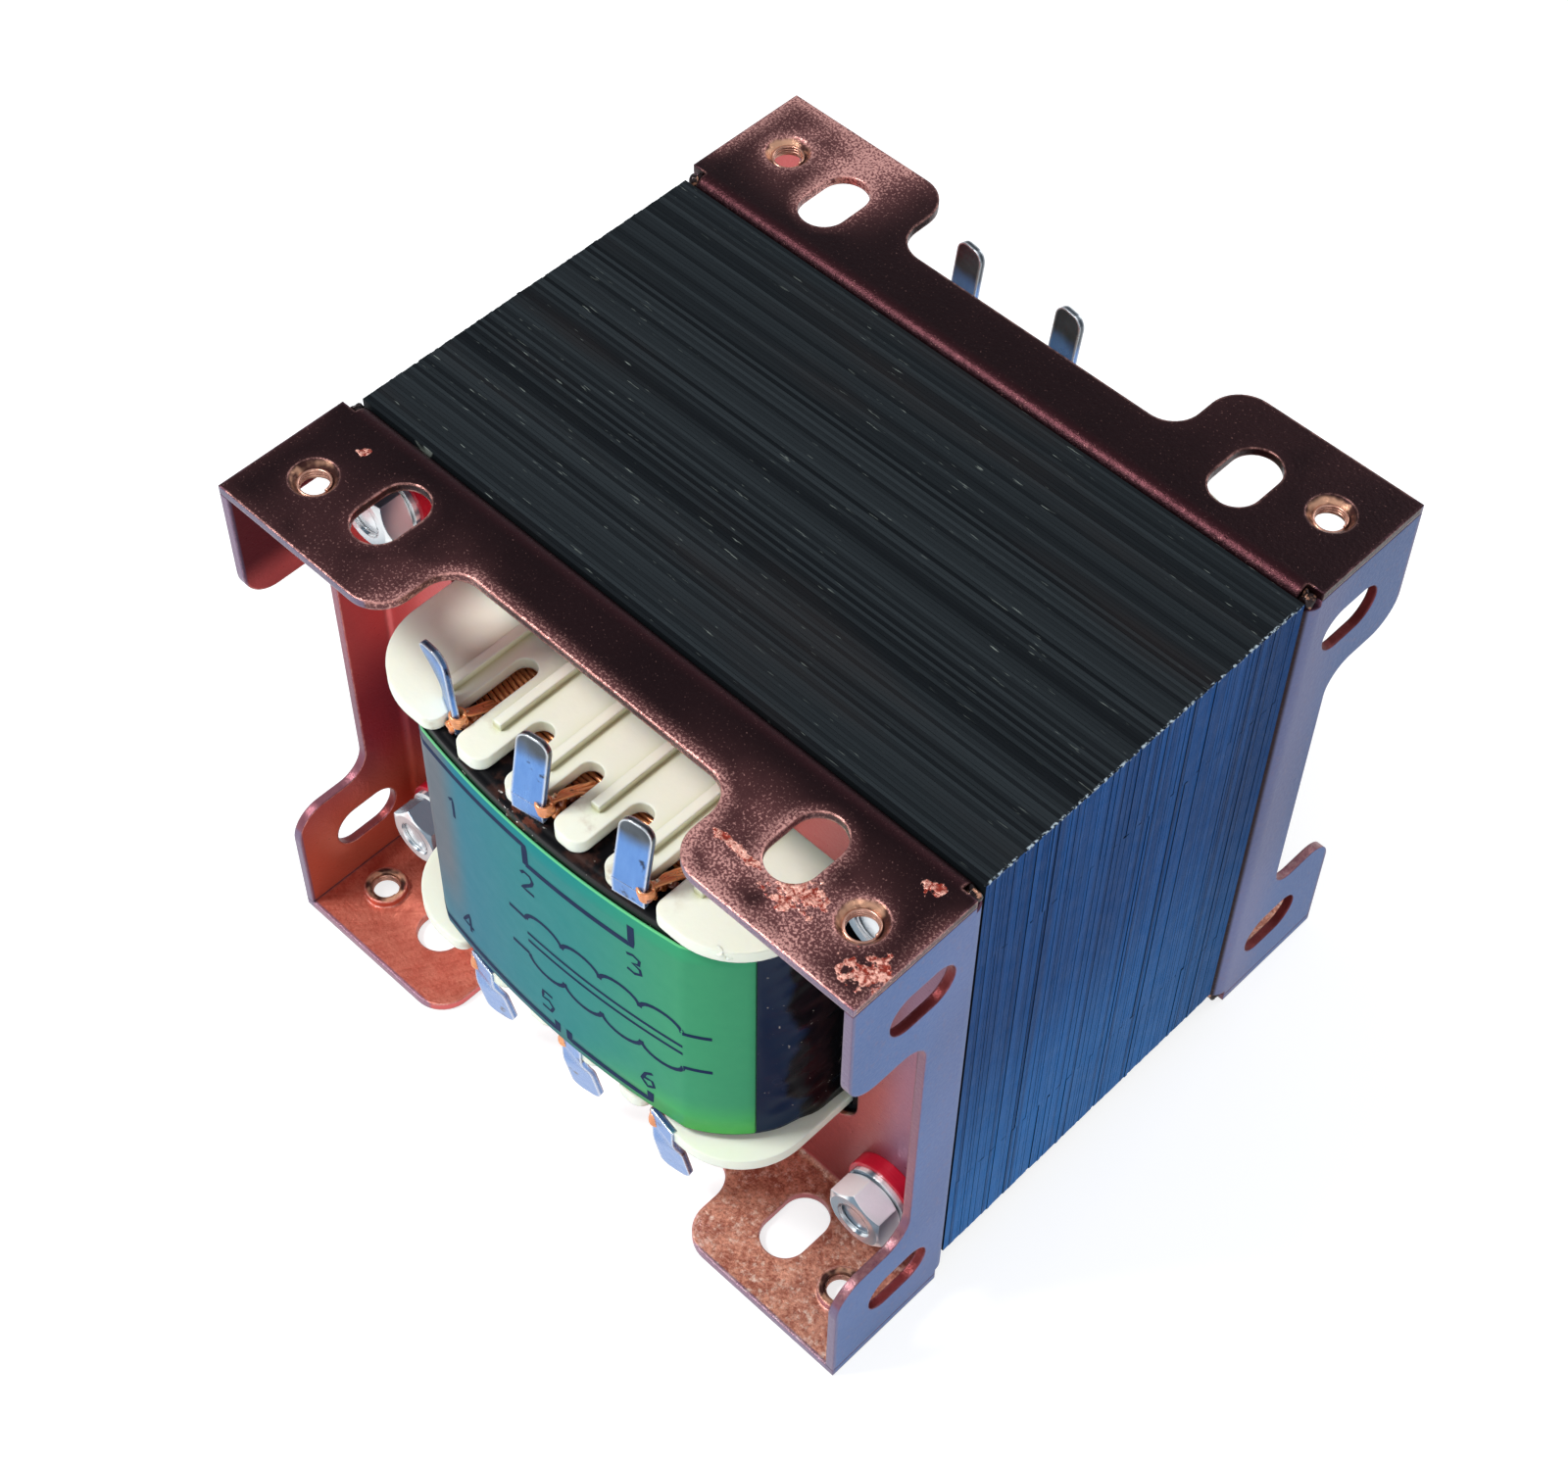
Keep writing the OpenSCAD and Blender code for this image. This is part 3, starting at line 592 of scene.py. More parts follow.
def coil_point(a, inset):
    """A point of the winding's plan, moved in by inset: a rounded rectangle, bulged in front."""
    w, d, r, bulge = (size - inset for size in (COIL_W, COIL_D, COIL_CORNER, COIL_BULGE))
    return edge_of(lambda x, y: in_rounded(x, y, w, d, r)
                   and math.hypot(x, y + COIL_BULGE - COIL_D) <= bulge, a)


def tube_point(a):
    """A point of the bobbin tube's outside."""
    w, d = UNIT + TUBE_WALL, FACE_Y + TUBE_WALL
    return edge_of(lambda x, y: in_rounded(x, y, w, d, TUBE_CORNER), a)


def coil_plan(inset, count):
    """Points of the winding's plan at even steps, from the middle of the right side."""
    fine = [coil_point(TURN * i / 900, inset) for i in range(901)]
    length = [0.0]
    for (xa, ya), (xb, yb) in zip(fine, fine[1:]):
        length.append(length[-1] + math.hypot(xb - xa, yb - ya))
    out, j = [], 0
    for i in range(count):
        s = length[-1] * i / count
        while length[j + 1] < s:
            j += 1
        t = (s - length[j]) / (length[j + 1] - length[j])
        (xa, ya), (xb, yb) = fine[j], fine[j + 1]
        out.append((xa + t * (xb - xa), ya + t * (yb - ya)))
    return out


def winding_material():
    m = Mat("varnished_winding")
    base = m.mix(m.noise(400.0), (16, 12, 12), (64, 36, 24))
    m.put(Base_Color=m.lay(base, (120, 66, 40), m.spots(170.0, 0.55, 0.75)),
          Coat_Weight=0.7, Coat_Roughness=0.12)
    m.rough(m.noise(300.0, 2), 0.4, 0.08)
    m.bump(m.mad(m.wave(300.0, 1.2), 0.5, m.noise(500.0)), 0.3, 0.8)
    return m.m


def copper_material():
    m = Mat("enamelled_copper_wire")
    m.put(Base_Color=m.mix(m.noise(260.0), (196, 100, 56), (255, 186, 128)), Metallic=0.5,
          Coat_Weight=0.5, Coat_Roughness=0.1)
    m.rough(m.noise(900.0), 0.25, 0.18)
    m.bump(m.noise(1200.0), 0.06, 0.4)
    return m.m


def make_winding():
    """The wound mass, with the turns of each layer's last row showing at both ends."""
    count, rows, layers, wire_r = 160, 5, 22, 0.33
    outer = coil_plan(0.6, count)
    inner = [tube_point(math.atan2(y, x)) for x, y in outer]
    mass = Shape()
    verts = []
    for z in (COIL_LO + 1.5, COIL_HI - 1.5):
        for r in range(rows + 1):
            t = r / rows
            for (xa, ya), (xb, yb) in zip(inner, outer):
                verts.append((xa + t * (xb - xa), ya + t * (yb - ya), z))
    half, edge = (rows + 1) * count, rows * count
    faces = ring_faces(rows + 1, count)
    faces += [(a + half, d + half, c + half, b + half) for a, b, c, d in faces]
    for i in range(count):
        j = (i + 1) % count
        faces.append((i, i + half, j + half, j))
        faces.append((edge + i, edge + j, edge + j + half, edge + i + half))
    mass.add(verts, faces)
    mass.piece("winding_mass", winding_material(), "copper_wire", smooth=False,
               replaces=("winding",))
    turns = Shape()
    for k in range(layers):
        t = (k + 0.5) / layers
        for z in (COIL_HI - 1.2, COIL_LO + 1.2):
            path = []
            for (xa, ya), (xb, yb) in zip(inner, outer):
                wobble = 0.12 * math.sin(0.31 * k + 9 * math.atan2(yb, xb) + k) * 0.8
                path.append((xa + t * (xb - xa), ya + t * (yb - ya), z + wobble))
            turns.tube(path, wire_r, sides=6, closed=True)
    turns.piece("end_turns", copper_material(), "copper_wire")


def wrinkle(x, y, z):
    """Folds of the tape: deep at the corners and under the edges, flat beneath the label."""
    corner = max(0.0, min(1.0, (abs(x) - 27.5) / 2.5))
    if y > 0:
        corner = max(corner, 0.35)
    f = math.sin(0.9 * z + 2.1 * math.sin(0.37 * z + 0.5 * x)) * 0.5
    f += math.sin(1.9 * z - 1.3 * y + 1.7) * 0.3 + math.sin(0.45 * z + 1.1 * y) * 0.4
    return corner * 0.22 * (f - 1.0)


def tape_material():
    m = Mat("black_gloss_tape")
    haze = m.noise(120.0)
    base = m.mix(haze, (5, 5, 6), (15, 15, 18))
    # a ragged painted blue reflection on the flat strip beside the label
    ragged = m.mad(m.noise(1.0, at=m.place(40.0, 40.0, 70.0)), 0.005, m.x)
    base = m.lay(base, (19, 38, 64), m.ramp(m.x, 26.2, 26.8), m.ramp(ragged, 32.2, 31.7), 0.8)
    # painted glints: small pale sparks here and there
    base = m.lay(base, (190, 180, 168), m.spots(1050.0, 0.68, 0.73, 2, 0.6),
                 m.spots(130.0, 0.46, 0.58, 2), 0.7)
    # brown varnish on the lips, most of it, and in front of the second lug, with white sparks of
    # painted glints
    base = m.lay(base, (58, 36, 30), m.ramp(m.z, COIL_HI - 2.0, COIL_HI),
                 m.spots(330.0, 0.5, 0.68, 4, 0.6), 0.8)
    near = m.ramp(m.distance((-3.0, -43.5, COIL_HI)), 4.5, 2.0)
    base = m.lay(base, (86, 46, 34), near, m.spots(700.0, 0.45, 0.6))
    base = m.lay(base, (244, 240, 232), near, m.spots(1500.0, 0.66, 0.7, 2))
    m.put(Base_Color=base, Specular_IOR_Level=0.05)
    lip = m.ramp(m.z, COIL_HI - 0.9, COIL_HI - 0.1)
    m.rough(lip, 0.3, m.mad(haze, 0.22, 0.14))
    m.bump(m.mad(m.wave(26.0, 0.8), 0.3, m.noise(150.0, 2)), 0.4, 0.16)
    return m.m


def make_tape():
    """The outer tape, wrinkled at the corners, with lips folded in over the winding."""
    count, rows, lip_rows, lip_w = 320, 64, 9, 6.0
    z0, z1 = tape_lo.z / MM, tape_hi.z / MM
    verts = []
    plan = coil_plan(0.0, count)
    for r in range(rows + 1):
        t = r / rows
        for i, (x, y) in enumerate(plan):
            frayed = 0.18 * math.sin(0.11 * i) * math.sin(0.047 * i + 1.0)
            z = z0 + t * (z1 - z0) + (frayed if 0 < r < rows else 0) * (1 - abs(2 * t - 1))
            n = Vector((x, y, 0)).normalized()
            d = wrinkle(x, y, z)
            verts.append((x + n.x * d, y + n.y * d, z))
    faces = ring_faces(rows + 1, count)
    for ring, z_edge, sign in ((rows * count, COIL_HI, 1), (0, COIL_LO, -1)):
        for k in range(1, lip_rows + 1):
            base = len(verts)
            inset = 0.35 + lip_w * (k / lip_rows) ** 1.2
            for i, (x, y) in enumerate(coil_plan(inset, count)):
                pleat = math.sin(0.43 * i + 0.8 * math.sin(0.09 * i))
                pleat += 0.6 * math.sin(0.171 * i + 0.7 * k)
                rag = 0.035 * math.sin(0.6 * i) * math.sin(0.23 * i) if k == lip_rows else 0
                sunk = 0.12 + 0.1 * (pleat + 1.6) * min(k, 3) / 3
                verts.append((x * (1 + rag), y * (1 + rag), z_edge - sign * sunk))
            for i in range(count):
                j = (i + 1) % count
                faces.append((ring + i, ring + j, base + j, base + i)[::sign])
            ring = base
    shape = Shape()
    shape.add(verts, faces)
    shape.piece("outer_tape", tape_material(), "black_tape", replaces=("winding_tape",))


def card_y(x, out):
    """The front of the winding at x, out millimetres proud of the tape."""
    w, d, r = COIL_W + out, COIL_D + out, COIL_CORNER + out
    bulge = COIL_BULGE - COIL_D - math.sqrt((COIL_BULGE + out) ** 2 - x * x)
    corner = -d
    if abs(x) > w - r:
        corner = -(d - r + math.sqrt(max(r * r - (abs(x) - w + r) ** 2, 0.0)))
    return max(bulge, corner)


def card_material():
    m = Mat("green_label_card")
    # a painted light: blue-green on the left, green on the right and brighter below, and a painted
    # reflection as a brown cast at far left
    base = m.mix(m.ramp(m.x, -20.0, 6.0), (44, 112, 132), (36, 126, 124))
    rightward = m.ramp(m.x, 2.0, 24.0)
    base = m.mix(rightward, base, (58, 148, 102))
    base = m.lay(base, (118, 96, 92), m.ramp(m.x, -14.0, -19.0), m.ramp(m.z, 20.0, 40.0), 0.6)
    base = m.lay(base, (78, 182, 76), m.ramp(m.z, 30.0, 20.5), rightward)
    base = m.lay(base, (20, 70, 76), m.noise(600.0), 0.12)
    # a painted highlight along the top edge
    rim = m.ramp(m.z, card_hi.z / MM - 0.35, card_hi.z / MM - 0.15)
    m.put(Base_Color=m.lay(base, (112, 208, 136), rim, 0.7), Specular_IOR_Level=0.08)
    m.rough(m.noise(300.0), 0.15, 0.42)
    m.bump(m.noise(900.0), 0.05, 0.35)
    return m.m


def make_card():
    """A card with real thickness that follows the winding's front."""
    cols, rows, front, back = 90, 12, 0.3, 0.06
    x0, x1 = card_lo.x / MM, card_hi.x / MM
    z0, z1 = card_lo.z / MM, card_hi.z / MM
    verts, faces = [], []
    for out in (front, back):
        for r in range(rows + 1):
            for c in range(cols + 1):
                x = x0 + (x1 - x0) * c / cols
                verts.append((x, card_y(x, out), z0 + (z1 - z0) * r / rows))
    w = cols + 1
    n = (rows + 1) * w
    for r in range(rows):
        for c in range(cols):
            a = r * w + c
            b, d, e = a + 1, a + w, a + w + 1
            faces += [(a, b, e, d), (a + n, d + n, e + n, b + n)]
    rim = [*range(w), *(r * w + cols for r in range(1, rows)),
           *range(n - 1, rows * w - 1, -1), *(r * w for r in range(rows - 1, 0, -1))]
    faces += [(a, a + n, b + n, b) for a, b in zip(rim, rim[1:] + rim[:1])]
    shape = Shape()
    shape.add(verts, faces)
    shape.piece("label", card_material(), "green_label", replaces=("label_card",))


def ink_material():
    m = Mat("label_ink")
    m.put(Base_Color=m.mix(m.noise(500.0, 2), (6, 24, 58), (10, 38, 76)), Specular_IOR_Level=0.1)
    m.rough(m.noise(300.0), 0.15, 0.55)
    return m.m


TERMINALS = (  # the numbers 1 to 6: place, and stroke in a box 1 wide and 1.6 high
    (-17.0, 50.2, [(0.2, 1.3), (0.55, 1.6), (0.55, 0)]),
    (-3.2, 50.2, [(0.05, 1.3), (0.3, 1.58), (0.75, 1.55), (0.92, 1.2), (0.8, 0.85), (0.05, 0),
                  (0.95, 0)]),
    (13.4, 50.2, [(0.05, 1.45), (0.45, 1.6), (0.85, 1.4), (0.8, 1.0), (0.4, 0.85), (0.85, 0.65),
                  (0.92, 0.25), (0.5, 0), (0.05, 0.15)]),
    (-17.0, 26.4, [(0.7, 0), (0.7, 1.6), (0.05, 0.5), (1.0, 0.5)]),
    (-1.6, 26.4, [(0.9, 1.6), (0.2, 1.6), (0.12, 0.9), (0.6, 1.0), (0.92, 0.6), (0.7, 0.08),
                  (0.05, 0.1)]),
    (14.6, 26.4, [(0.8, 1.55), (0.35, 1.2), (0.08, 0.5), (0.45, 0), (0.88, 0.3), (0.75, 0.78),
                  (0.15, 0.7)]),
)
BRACKETS = (
    [(-23.5, 59.4), (-2.0, 59.4), (-2.0, 55.6)],
    [(-2.0, 55.8), (14.3, 55.8), (14.3, 59.6)],
    [(-23.5, 23.5), (-23.5, 24.6)],
    [(-23.5, 23.6), (1.0, 23.6), (1.0, 25.4)],
    [(3.0, 25.4), (3.0, 23.6), (16.0, 23.6), (16.0, 25.4)],
)


def make_ink():
    """Bracket lines, plain terminal numbers and a coil sign, as thin ribbons of ink."""
    shape = Shape()
    proud, number_size, loop_r, loop_h = 0.325, 2.3, 3.0, 2.0

    def ribbon(points, width):
        fine = []
        for (xa, za), (xb, zb) in zip(points, points[1:]):
            steps = max(1, int(math.hypot(xb - xa, zb - za) / 0.6))
            fine += [(xa + (xb - xa) * i / steps, za + (zb - za) * i / steps)
                     for i in range(steps)]
        fine.append(points[-1])
        verts = []
        for i, (x, z) in enumerate(fine):
            xa, za = fine[max(i - 1, 0)]
            xb, zb = fine[min(i + 1, len(fine) - 1)]
            length = math.hypot(xb - xa, zb - za)
            nx, nz = -(zb - za) / length * width / 2, (xb - xa) / length * width / 2
            for s in (-1, 1):
                px, pz = x + s * nx, z + s * nz
                verts.append((px, card_y(px, proud), pz))
        shape.add(verts, [(2 * i, 2 * i + 2, 2 * i + 3, 2 * i + 1) for i in range(len(fine) - 1)])

    for points in BRACKETS:
        ribbon(points, 1.0)
    for x, z, stroke in TERMINALS:
        ribbon([(x + px * number_size, z + pz * number_size) for px, pz in stroke], 0.5)
    # two windings with the core's lines between them
    for z, s in ((43.6, 1), (36.2, -1)):
        for x0 in (-3.0, 3.0, 9.0, 15.0):
            ribbon([(x0 + loop_r - loop_r * math.cos(a), z + s * loop_h * math.sin(a))
                    for a in [math.pi * i / 10 for i in range(11)]], 0.65)
        ribbon([(-6.0, z), (-3.0, z)], 0.65)
        ribbon([(21.0, z), (24.0, z)], 0.65)
    for z in (40.7, 39.1):
        ribbon([(-3.0, z), (21.0, z)], 0.55)
    shape.piece("label_ink", ink_material(), "green_label", smooth=False)


# ---------------------------------------------------------------- lugs, leads and solder
LUG_ROWS = (  # at the rear, at the bottom, then each lug's line in pitches, turn and set back
    (False, False, ((-2.45, -34, 2.6), (-0.5, 0, 0), (1.5, 0, 0))),
    (False, True, ((-2.5, 0, 0), (-0.5, 0, 0), (1.5, 0, 0))),
    (True, False, ((-2.5, 0, 0), (-0.5, 0, 0))),
    (True, True, ((-2.5, 0, 0), (-0.5, 0, 0))),
)
BENT_LUGS = (  # row, lug, lean back, reach aside, twist, and the height that the twist takes
    (0, 0, 3.0, 3.0, 24, 9.0),
    (1, 0, 10.0, 0.0, -18, 5.0),
    (1, 1, 10.0, 0.0, -18, 5.0),
    (1, 2, 10.0, 0.0, -18, 5.0),
)


def at_row(rear, low):
    """Turns a point of the front top comb's own frame into the part's."""
    def put(p):
        x, y, z = p
        x, z = (-x, COMB_BOTTOM - z) if low else (x, z + COMB_TOP)
        return (x, -y if rear else y, z)
    return put


def spline(points, steps):
    """A smooth curve through points."""
    pts = [points[0], *points, points[-1]]
    out = []
    for i in range(1, len(pts) - 2):
        a, b, c, d = pts[i - 1:i + 3]
        for k in range(steps):
            t = k / steps
            out.append(0.5 * ((2 * b) + (c - a) * t + (2 * a - 5 * b + 4 * c - d) * t * t
                              + (3 * b - a - 3 * c + d) * t * t * t))
    out.append(pts[-2])
    return out


def make_leads():
    """Each lug's lead: up out of the comb's slot, then round the lug's foot, and soldered."""
    strands, wire_r, foot_reach, turns, steps = 4, 0.24, 1.9, 2.2, 14
    wires, lumps, drops = Shape(), Shape(), Shape()
    for row, (rear, low, lugs) in enumerate(LUG_ROWS):
        put = at_row(rear, low)
        for line, turn, back in lugs:
            yaw = math.radians(LUG_YAW + turn)
            seed = 10 * row + round(2 * line)
            r = random.Random(seed)
            slot_x = PITCH * math.ceil(line)
            foot = Vector((PITCH * line + LUG_ASIDE + foot_reach * math.cos(yaw),
                           LUG_Y + back + 0.3 + foot_reach * math.sin(yaw), 0))
            for k in range(strands):
                off, rise = (k - 1.5) * 0.55, 0.25 * k
                start = Vector((slot_x + off, SLOT_Y + 1.6 + r.uniform(-0.3, 0.9), -2.7))
                path = [start, start + Vector((0.1, -0.9, 0.7)),
                        Vector((slot_x + off, SLOT_Y - 0.9, -1.3 + rise)),
                        Vector((slot_x + 0.8 * off, SLOT_Y - 2.4, -0.5 + rise))]
                ring = 0.62 + 0.07 * k
                for i in range(int(turns * steps) + 1):
                    a = math.radians(75) - TURN * i / steps
                    path.append(foot + Vector((ring * math.cos(a), ring * math.sin(a),
                                               -0.55 + 0.42 * k + 0.3 * i / steps)))
                wires.tube([put(p) for p in spline(path, 4)], wire_r, sides=8)
            for k in range(3):
                spot = (slot_x + r.uniform(-0.5, 0.5), SLOT_Y - 1.6 - 1.3 * k, -1.3 + 0.1 * k)
                lumps.blob(put(spot), (0.85, 0.8, 0.7), bumps=0.25, seed=seed + 13 + k)
            lumps.blob(put(foot + Vector((0.35, 0.2, 0.0))), (0.75, 0.8, 0.9), bumps=0.15,
                       seed=seed + 5)
            for k in range(3):
                spot = (slot_x + r.uniform(-0.7, 0.7), SLOT_Y - 2.2 - 0.9 * k,
                        r.uniform(-0.35, -0.1))
                drops.blob(put(spot), (0.3, 0.26, 0.2), seed=seed + k, cells=8)
            drops.blob(put((slot_x - 0.2, SLOT_Y - 4.0, 0.3)), (0.5, 0.5, 0.4), seed=seed + 7)
    wires.piece("lead_ends", copper_material(), "copper_wire",
                replaces=("lead_wires_front", "lead_wires_rear"))
    lumps.piece("flux_lumps", flux_material(), "copper_wire")
    drops.piece("solder_drops", solder_material(), "tinned_metal")


def flux_material():
    m = Mat("flux_and_varnish")
    m.put(Base_Color=m.mix(m.spots(500.0, 0.4, 0.65), (112, 46, 22), (240, 150, 86)), Metallic=0.3,
          Coat_Weight=0.8, Coat_Roughness=0.06)
    m.rough(m.noise(800.0), 0.25, 0.1)
    m.bump(m.noise(700.0), 0.2, 0.7)
    return m.m


def solder_material():
    m = Mat("bright_solder")
    # solder whitened into a painted highlight
    m.put(Base_Color=m.mix(m.spots(700.0, 0.3, 0.6), (244, 190, 130), (255, 246, 224)),
          Metallic=0.35, Coat_Weight=0.6, Coat_Roughness=0.08)
    m.rough(m.noise(800.0), 0.3, 0.12)
    m.bump(m.noise(900.0), 0.1, 0.5)
    return m.m


def make_bent_lugs():
    """The lugs bent by hand: one leans to its left and untwists, three turn to the front."""
    rows, straight = 60, 1.0
    material = lug_material()
    for row, k, lean, aside, twist, twist_h in BENT_LUGS:
        rear, low, lugs = LUG_ROWS[row]
        line, turn, back = lugs[k]
        node = "lug_front_%s_%d" % ("bottom" if low else "top", k + 1)
        lo, hi = (corner.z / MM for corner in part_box(node))
        root, tip = (COMB_BOTTOM - hi, COMB_BOTTOM - lo) if low else (lo - COMB_TOP, hi - COMB_TOP)
        put = at_row(rear, low)
        verts = []
        for i in range(rows + 1):
            z = root + (tip - root) * math.sin(math.pi / 2 * i / rows)
            above = max(z - straight, 0.0)
            in_tip = LUG_TIP_R - min(tip - z, LUG_TIP_R)
            half = LUG_HALF_W - LUG_TIP_R + math.sqrt(max(LUG_TIP_R ** 2 - in_tip ** 2, 0.0))
            turned_by = 0.5 - 0.5 * math.cos(math.pi * min(above / twist_h, 1.0))
            yaw = math.radians(LUG_YAW + turn + twist * turned_by)
            x = PITCH * line + LUG_ASIDE - aside * (above / (tip - straight)) ** 1.25
            y = LUG_Y + back + above * math.tan(math.radians(lean))
            ux, uy = math.cos(yaw), math.sin(yaw)
            for a, b in ((-half, -LUG_HALF_T), (half, -LUG_HALF_T),
                         (half, LUG_HALF_T), (-half, LUG_HALF_T)):
                verts.append(put((x + a * ux - b * uy, y + a * uy + b * ux, z)))
        shape = Shape()
        shape.add(verts, [*ring_faces(rows + 1, 4), (3, 2, 1, 0),
                          tuple(4 * rows + j for j in range(4))])
        shape.piece("bent_" + node, material, "tinned_metal", smooth=False, replaces=(node,))


def lug_material():
    m = Mat("tinned_lug")
    streak = m.noise(1.0, 4, 0.6, at=m.place(900.0, 900.0, 160.0))
    # a painted blue reflection on the blades, with dark specks
    blue_reflection = m.mix(streak, (70, 116, 182), (114, 158, 216))
    blue_reflection = m.lay(blue_reflection, (30, 44, 70), m.spots(420.0, 0.62, 0.7))
    # the tips mirror a dark room; their rims catch the light
    height = m.sub(m.z, FRAME_TOP / 2 * MM)
    dark = m.mix(m.noise(300.0, 2), (26, 30, 34), (96, 104, 112))
    base = m.mix(m.ramp(m.mad(m.noise(160.0, 2), 0.004, height), 33.5, 35.8), blue_reflection, dark)
    m.put(Base_Color=m.lay(base, (226, 230, 234), edge_wear_and_highlight(m), 0.75), Metallic=0.75)
    m.rough(streak, 0.22, 0.14)
    m.bump(m.mad(streak, 0.6, m.noise(500.0, 2)), 0.12, 0.5, radius=0.25)
    return m.m


# ---------------------------------------------------------------- bobbin and fasteners
def bobbin_material():
    m = Mat("moulded_nylon")
    flow = m.noise(45.0, at=m.place(1.0, 0.4, 1.0))
    base = m.mix(flow, (226, 231, 210), (244, 246, 232))
    # painted shade: olive-yellow in the hollows, from ambient occlusion
    hollow_shade = m.node("AmbientOcclusion", {"Distance": 2.2 * MM}, out="AO", samples=8,
                    only_local=True)
    base = m.lay(base, (190, 190, 136), m.step(hollow_shade, 0.95, 0.35))
    # flux and varnish have browned the comb where the leads come through
    base = m.lay(base, (150, 110, 66), m.ramp(m.mag(m.y), 36.5, 42.5),
                 m.spots(260.0, 0.55, 0.75, 4), m.ramp(m.mag(m.x), 21.0, 17.0), 0.55)
    m.put(Base_Color=base, Subsurface_Weight=0.25, Subsurface_Radius=(1.0, 0.8, 0.5),
          Subsurface_Scale=1.2 * MM)
    m.rough(m.noise(380.0, 2), 0.18, 0.32)
    m.bump(m.mad(m.noise(1500.0, 2), 0.4, m.noise(220.0, 2)), 0.12, 0.35, radius=0.4)
    return m.m


def make_gate_mark():
    """The torn gate and a chip of flash on the front edge of the right ear."""
    shape = Shape()
    lumps = (((26.6, -42.55, 65.9), 0.9), ((27.4, -42.2, 65.4), 0.65), ((26.2, -42.8, 65.2), 0.5))
    for k, (centre, r) in enumerate(lumps):
        shape.blob(centre, (r * 0.8, r * 0.75, r * 0.7), bumps=0.28, seed=40 + k, cells=8)
    shape.piece("gate_mark", nodes["bobbin"].data.materials[0], "bobbin_plastic", smooth=False)


def zinc_material():
    m = Mat("bright_zinc")
    # each facet mirrors another part of the room
    facing = m.node("VectorMath", {0: m.normal, 1: m.place(40.0, 40.0, 40.0)}, operation="ADD")
    tone = m.spots(1.6, 0.42, 0.56, 1, at=facing)
    m.put(Base_Color=m.mix(tone, (112, 130, 144), (252, 255, 255)), Metallic=0.4)
    m.rough(m.noise(700.0), 0.2, 0.12)
    m.bump(m.noise(1100.0), 0.1, 0.35, radius=0.3)
    return m.m


def fibre_material():
    m = Mat("red_fibre")
    m.put(Base_Color=m.mix(m.noise(500.0, 4), (168, 6, 34), (220, 18, 52)))
    m.rough(m.noise(400.0), 0.2, 0.28)
    m.bump(m.noise(1.0, at=m.place(500.0, 2600.0, 500.0)), 0.1, 0.5, radius=0.25)
    return m.m


def make_bolt_threads():
    """The thread that shows in each nut's mouth and on the bolt's end."""
    shape = Shape()
    r, wire_r, pitch, steps = 2.42, 0.13, 0.55, 28
    for corner in ("top_left", "top_right", "bottom_left", "bottom_right"):
        lo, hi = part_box("nut_" + corner)
        cx, cz = (lo.x + hi.x) / 2 / MM, (lo.z + hi.z) / 2 / MM
        y0 = lo.y / MM + 0.06
        path = [(cx + r * math.cos(a), y0 + pitch * a / TURN, cz + r * math.sin(a))
                for a in [TURN * i / steps for i in range(steps + 1)]]
        shape.tube(path, wire_r, sides=6)
    shape.piece("nut_threads", nodes["nut_top_left"].data.materials[0], "zinc_plate")


# ---------------------------------------------------------------- putting it together
def dress(names, material):
    """Gives a finish to nodes that keep their own shape."""
    for name in names:
        obj = nodes[name]
        obj.data.materials.clear()
        obj.data.materials.append(material)


whole_lugs = [n for n in nodes if n.startswith(("lug_rear", "lug_front_top_2", "lug_front_top_3"))]
fibre = [n for n in nodes if "fibre" in n]
zinc = [n for n in nodes if n.startswith(("bolt_", "nut_")) and n not in fibre]

make_core()
dress(["front_frame", "rear_frame"], frame_material())
make_threads()
make_corner_relief_shade()
dress(["bobbin"], bobbin_material())
make_gate_mark()
make_winding()
make_tape()
make_card()
make_ink()
make_leads()
make_bent_lugs()
dress(whole_lugs, lug_material())
dress(zinc, zinc_material())
dress(fibre, fibre_material())
make_bolt_threads()


# ---------------------------------------------------------------- stage, light and camera
def add_object(name, data):
    obj = bpy.data.objects.new(name, data)
    bpy.context.scene.collection.objects.link(obj)
    return obj


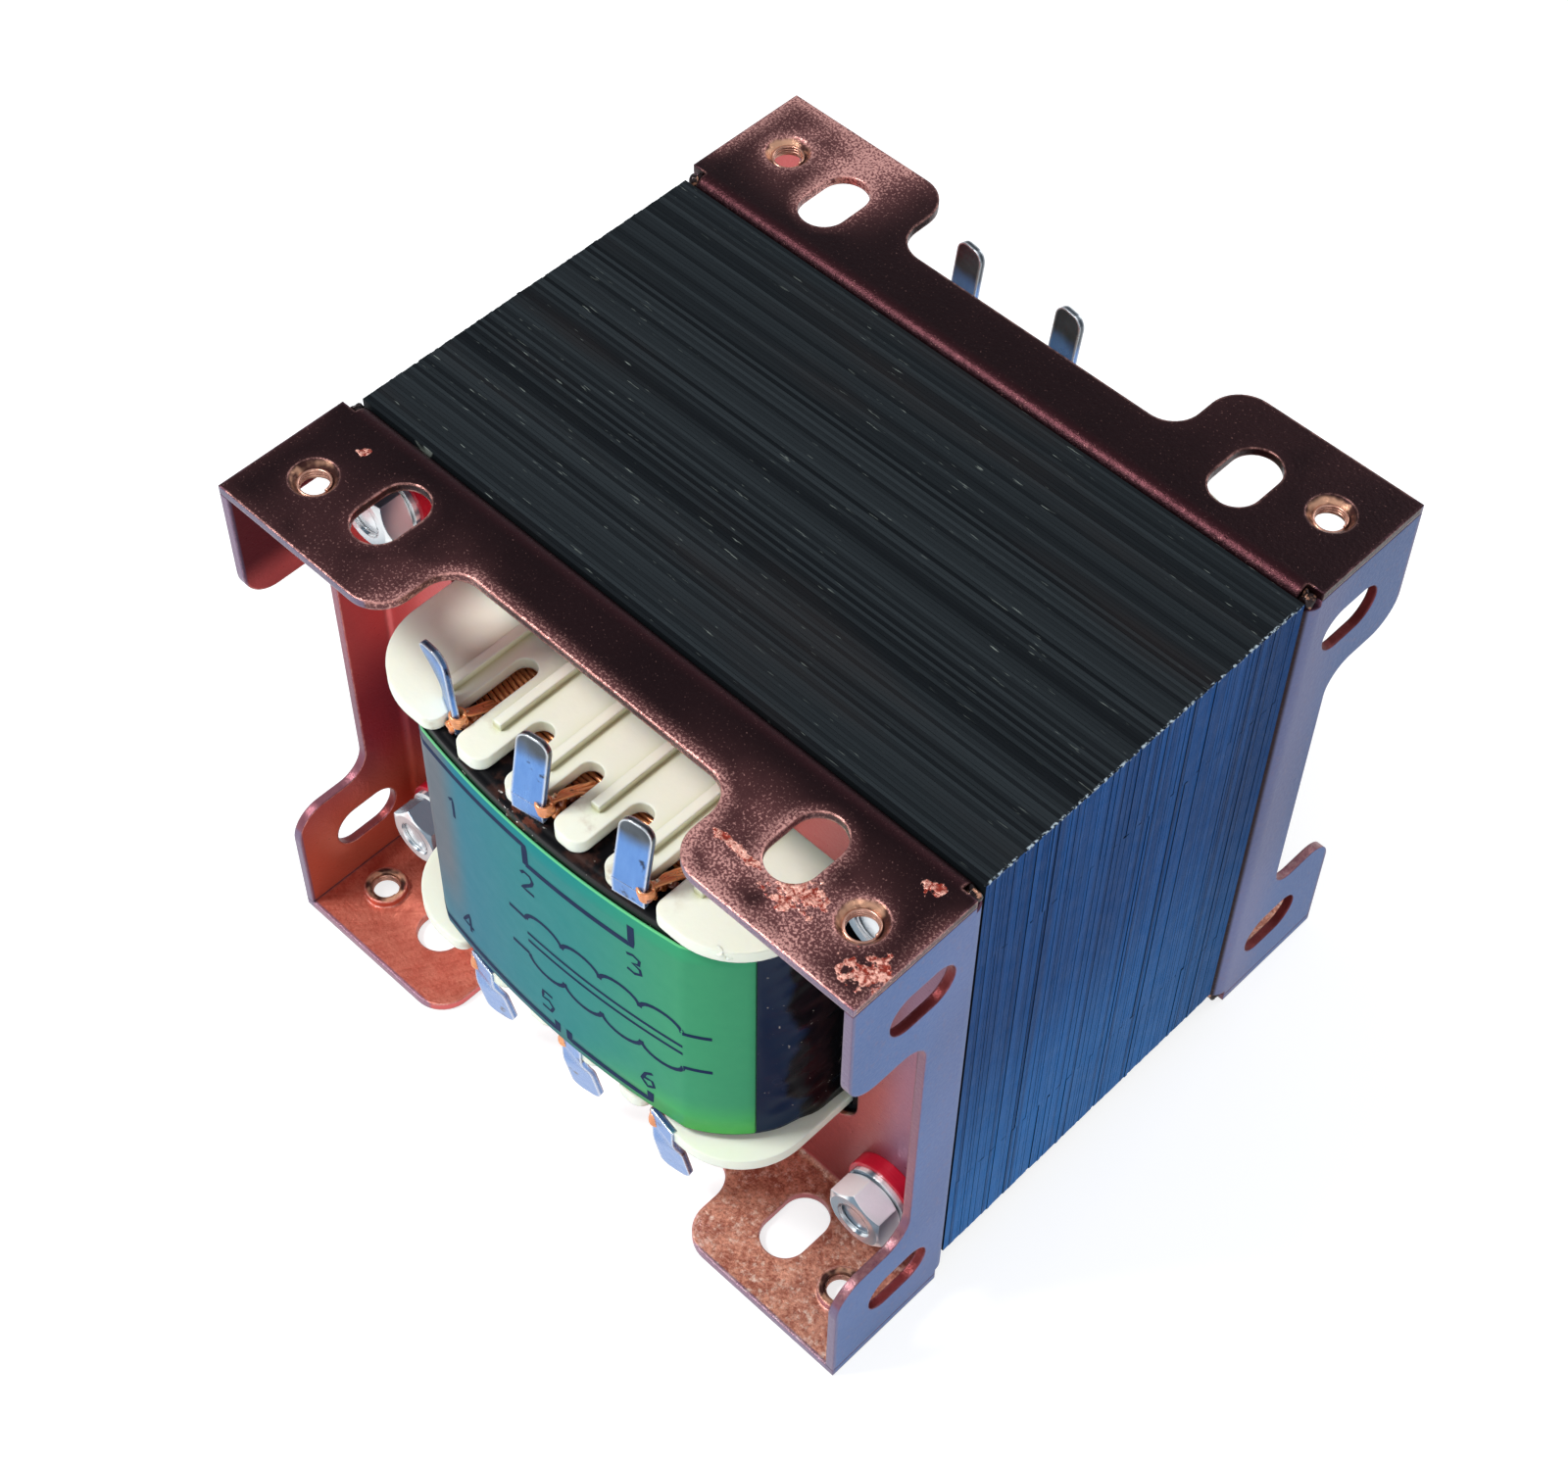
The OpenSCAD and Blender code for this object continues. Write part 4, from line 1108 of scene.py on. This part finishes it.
def make_stage():
    """A plain pale floor that shows white to camera, glossy and transmission rays."""
    half = 30.0
    mesh = bpy.data.meshes.new("floor")
    mesh.from_pydata([(-half, -half, 0), (half, -half, 0), (half, half, 0), (-half, half, 0)],
                     [], [(0, 1, 2, 3)])
    m = Mat("pale_floor")
    m.t.nodes.remove(m.bsdf)
    plain = m.node("BsdfDiffuse", {"Color": (0.72, 0.74, 0.76, 1)})
    dim = m.node("BsdfDiffuse", {"Color": (0.4, 0.4, 0.4, 1)})
    glow = m.node("Emission", {"Color": (1, 1, 1, 1), "Strength": 0.75})
    seen = m.node("LightPath", out="Is Camera Ray")
    for kind in ("Is Glossy Ray", "Is Transmission Ray"):
        seen = m.most(seen, m.node("LightPath", out=kind))
    both = m.node("AddShader", {0: dim, 1: glow})
    m.fill(m.t.nodes["Material Output"].inputs[0],
           m.node("MixShader", {0: seen, 1: plain, 2: both}))
    mesh.materials.append(m.m)
    floor = add_object("floor", mesh)
    floor.location.z = -0.2 * MM


def make_lights():
    world = bpy.data.worlds.new("studio")
    bpy.context.scene.world = world
    world.use_nodes = True
    bg = world.node_tree.nodes["Background"]
    bg.inputs["Color"].default_value = (0.86, 0.92, 1.0, 1)
    bg.inputs["Strength"].default_value = 0.55
    target = Vector((0, 0, 0.04))
    for name, place, size, power in (("key", (-0.36, -0.42, 0.84), 0.25, 7.8),
                                     ("fill", (0.75, -0.6, 0.35), 0.6, 3.0),
                                     ("back", (0.1, 0.8, 0.6), 0.5, 2.5)):
        light = bpy.data.lights.new(name, "AREA")
        light.size, light.energy = size, power
        lamp = add_object(name, light)
        lamp.location = place
        lamp.rotation_mode = "QUATERNION"
        lamp.rotation_quaternion = (target - Vector(place)).to_track_quat("-Z", "Y")


def make_camera():
    """The camera fitted to the photograph's corners: its axes, place and focal length."""
    focal_px, image_w, sensor = 2932, 1600, 36
    right = Vector((0.71649616, 0.69750446, 0.01099017))
    down = Vector((0.56096417, -0.56673014, -0.60343694))
    ahead = Vector((-0.4146715, 0.43852534, -0.79733498))
    place = Vector((144.792, -158.506, 323.372)) * MM
    data = bpy.data.cameras.new("camera")
    data.lens, data.sensor_width = focal_px / image_w * sensor, sensor
    data.clip_start, data.clip_end = 0.01, 10
    cam = add_object("camera", data)
    turn = Matrix((right, -down, -ahead)).transposed().to_4x4()
    cam.matrix_world = Matrix.Translation(place) @ turn
    bpy.context.scene.camera = cam


make_stage()
make_lights()
make_camera()
bpy.context.scene.view_settings.view_transform = "Standard"
bpy.context.view_layer.update()
